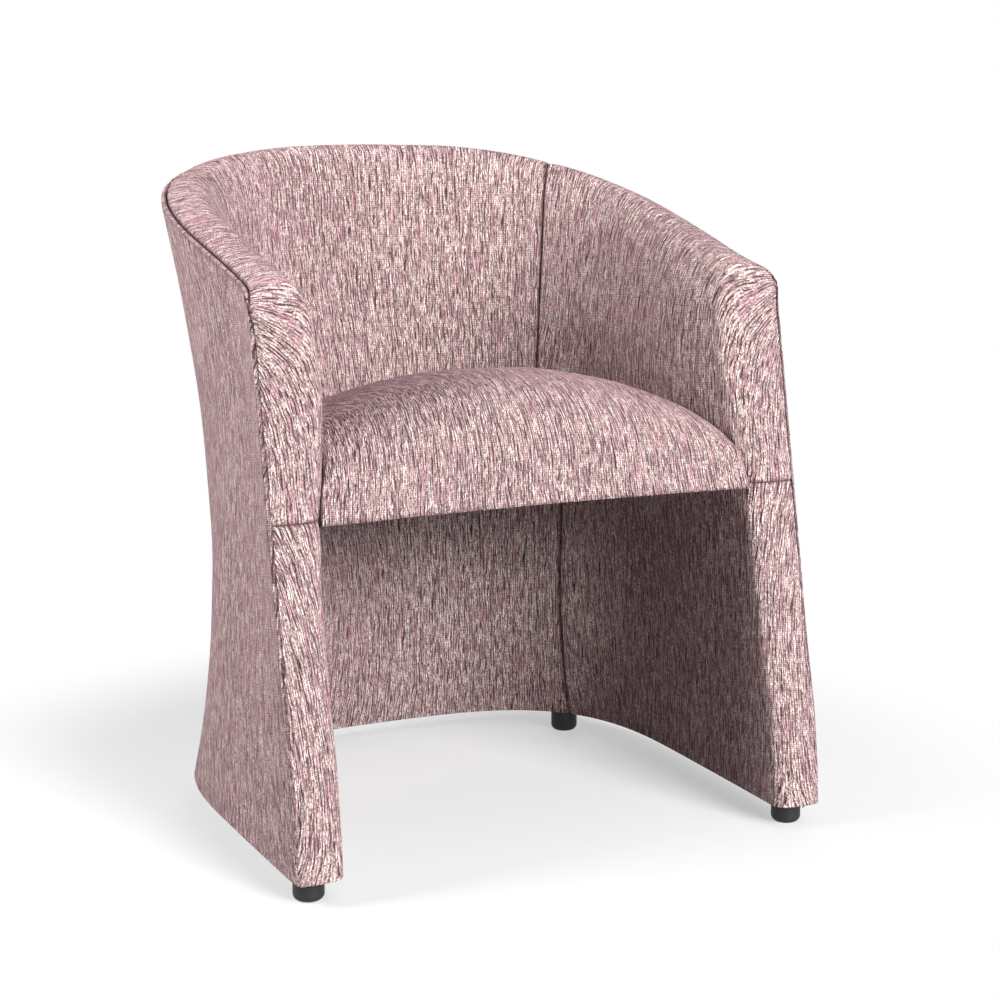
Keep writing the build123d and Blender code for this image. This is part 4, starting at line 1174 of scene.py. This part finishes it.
def sew(name, path):
    """Stitches along a path, as a plain mesh."""
    line = bpy.data.curves.new(name, "CURVE")
    line.dimensions = "3D"
    run = line.splines.new("POLY")
    run.points.add(len(path) - 1)
    run.points.foreach_set("co", np.column_stack([path * MM, np.ones(len(path))]).ravel())
    guide = bpy.data.objects.new(name, line)
    bpy.context.collection.objects.link(guide)
    sewing = guide.modifiers.new("stitches", "NODES")
    sewing.node_group = stitches_tree
    sizes = {"Pitch": STITCH_PITCH * MM, "Thread": STITCH_THREAD * MM, "Finish": thread}
    for socket in stitches_tree.interface.items_tree:
        if socket.in_out == "INPUT" and socket.name in sizes:
            sewing[socket.identifier] = sizes[socket.name]
    mesh = bpy.data.meshes.new_from_object(guide.evaluated_get(bpy.context.evaluated_depsgraph_get()))
    bpy.data.objects.remove(guide)
    mesh.name = name
    piece = bpy.data.objects.new(name, mesh)
    bpy.context.collection.objects.link(piece)
    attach(piece, "root")
    return piece


def stitch_line(start, end):
    """The path beside the rim seam, between two ways, in the furrow of the outer cloth."""
    ways = np.linspace(start, end, 160)
    return spot(ways, RIM_SUNK, seam(ways) - STITCH_INSET + seam_in(ways))


sew("topstitch_back", stitch_line(-OUTER_SEAM + WAY_FREE, OUTER_SEAM - WAY_FREE))
path = stitch_line(OUTER_SEAM + WAY_FREE, way_at(STITCH_INSET))
falling = np.linspace(path[-1, 2], BOTTOM + STITCH_END, 160)[1:]
path = np.concatenate([path, spot(way_at(STITCH_INSET), FRONT_SUNK, falling)])
for side, hand in (("right", 1), ("left", -1)):
    stitches = sew(f"topstitch_arm_{side}", path * (hand, 1, 1))
print("stitches on one arm:", len(stitches.data.polygons) // (BEAD_SEGMENTS * BEAD_RINGS))

# %% [markdown]
# ## The room
# The photograph has a white ground that keeps a faint grey shadow. The floor is one curved sheet with
# no edge in sight. It stays a real, matt surface, so that it catches the shadow, and it only adds a
# little light of its own for the camera, so that it reads as white.

# %% The white ground's finish
FLOOR_GLOW = 0.48                             # light of its own where the camera sees it
NEAR, FAR = 0.42, 0.74                        # metres; from here on the ground fades to plain white


def seen_directly(tree):
    """1 for rays that come from the camera, from glossy surfaces or through clear ones."""
    path = tree.nodes.new("ShaderNodeLightPath").outputs
    seen = add(tree, "ShaderNodeMath", LARGER, {0: path["Is Camera Ray"], 1: path["Is Glossy Ray"]})
    return add(tree, "ShaderNodeMath", LARGER, {0: seen, 1: path["Is Transmission Ray"]})


def white_ground():
    """Matt white paper; seen directly or in a reflection it is a little brighter, and white far away."""
    material, tree, shader = finish("white_paper_ground", 0.9, Specular_IOR_Level=0.0,
                                    Emission_Color=linear("#FFFFFF"))
    where = add(tree, "ShaderNodeTexCoord", {}, {}, "Object")
    clouds = grain(tree, where, 30.0, 30.0, 6)
    surface(tree, shader, add(tree, "ShaderNodeMix", COLOURS, {0: clouds, 6: "#A6A6A6", 7: "#A9A9A9"}, MIXED))
    seen = seen_directly(tree)
    glow = add(tree, "ShaderNodeMath", TIMES, {0: seen, 1: FLOOR_GLOW})
    tree.links.new(glow, shader.inputs["Emission Strength"])
    distance = add(tree, "ShaderNodeVectorMath", {"operation": "LENGTH"}, {0: where}, "Value")
    far = add(tree, "ShaderNodeMapRange", SMOOTH, {"Value": distance, "From Min": NEAR, "From Max": FAR})
    white = add(tree, "ShaderNodeEmission", {}, {"Strength": 1.0})
    share = add(tree, "ShaderNodeMath", TIMES, {0: seen, 1: far})
    mixed = add(tree, "ShaderNodeMixShader", {}, {0: share, 1: shader.outputs[0], 2: white})
    tree.links.new(mixed, tree.nodes["Material Output"].inputs["Surface"])
    return material


paper_finish = white_ground()
print("ground:", paper_finish.name)

# %% Roll out the ground
PAPER_HALF, PAPER_FRONT, PAPER_BEND, PAPER_RADIUS, PAPER_TOP = 14.0, -8.0, 5.0, 3.0, 9.0   # metres

profile = [(y, 0.0) for y in np.linspace(PAPER_FRONT, PAPER_BEND, 27)]
profile += [(PAPER_BEND + PAPER_RADIUS * sin(angle), PAPER_RADIUS * (1 - cos(angle)))
            for angle in np.radians(np.linspace(0, 90, 13))[1:]]
profile.append((PAPER_BEND + PAPER_RADIUS, PAPER_TOP))
breadth = np.linspace(-PAPER_HALF, PAPER_HALF, 15)
vertices = [(float(x), float(y), float(z)) for y, z in profile for x in breadth]
index = np.arange(len(vertices)).reshape(len(profile), len(breadth))
faces = squares(index[:-1, :-1], index[:-1, 1:], index[1:, 1:], index[1:, :-1]).tolist()
mesh = bpy.data.meshes.new("ground")
mesh.from_pydata(vertices, [], faces)
mesh.shade_smooth()
mesh.materials.append(paper_finish)
paper = bpy.data.objects.new("ground", mesh)
bpy.context.collection.objects.link(paper)
print("ground:", len(mesh.polygons), "faces")

# %% [markdown]
# ## Light
# Two large softboxes far in front give the even, frontal light of a catalogue photograph: being far
# away, they light the back of the chair almost as much as its front. Smaller ones at the left, overhead
# and behind lift the outer side, the rim and the floor, and dim surroundings fill the rest.

# %% Lamps and surroundings
LAMPS = (                                     # name, place and size in metres, watts
    ("softbox_front", (1.7, -6.6, 2.6), 2.6, 700.0),
    ("softbox_high", (0.8, -4.5, 4.2), 1.8, 160.0),
    ("softbox_left", (-1.7, 0.0, 1.2), 0.7, 35.0),
    ("softbox_top", (0.2, -0.9, 3.2), 1.6, 18.0),
    ("softbox_rear", (1.6, 3.2, 0.9), 1.4, 52.0),
)
AIM = Vector((0, 0, 0.4))                     # the middle of the chair
SURROUNDINGS = 0.05                           # their strength as light; the camera sees them white

for name, place, size, watts in LAMPS:
    lamp = bpy.data.lights.new(name, "AREA")
    lamp.shape, lamp.size, lamp.energy = "SQUARE", size, watts
    box = bpy.data.objects.new(name, lamp)
    box.location = place
    box.rotation_euler = (AIM - Vector(place)).to_track_quat("-Z", "Y").to_euler()
    bpy.context.collection.objects.link(box)
world = bpy.data.worlds.new("white_surroundings")
world.use_nodes = True
background = world.node_tree.nodes["Background"].inputs
strength = add(world.node_tree, "ShaderNodeMath", TIMES_PLUS,
               {0: seen_directly(world.node_tree), 1: 1 - SURROUNDINGS, 2: SURROUNDINGS})
world.node_tree.links.new(strength, background["Strength"])
background["Color"].default_value = linear("#FFFFFF")
bpy.context.scene.world = world
bpy.context.scene.view_settings.view_transform = "Standard"
print("lamps:", [lamp[0] for lamp in LAMPS])
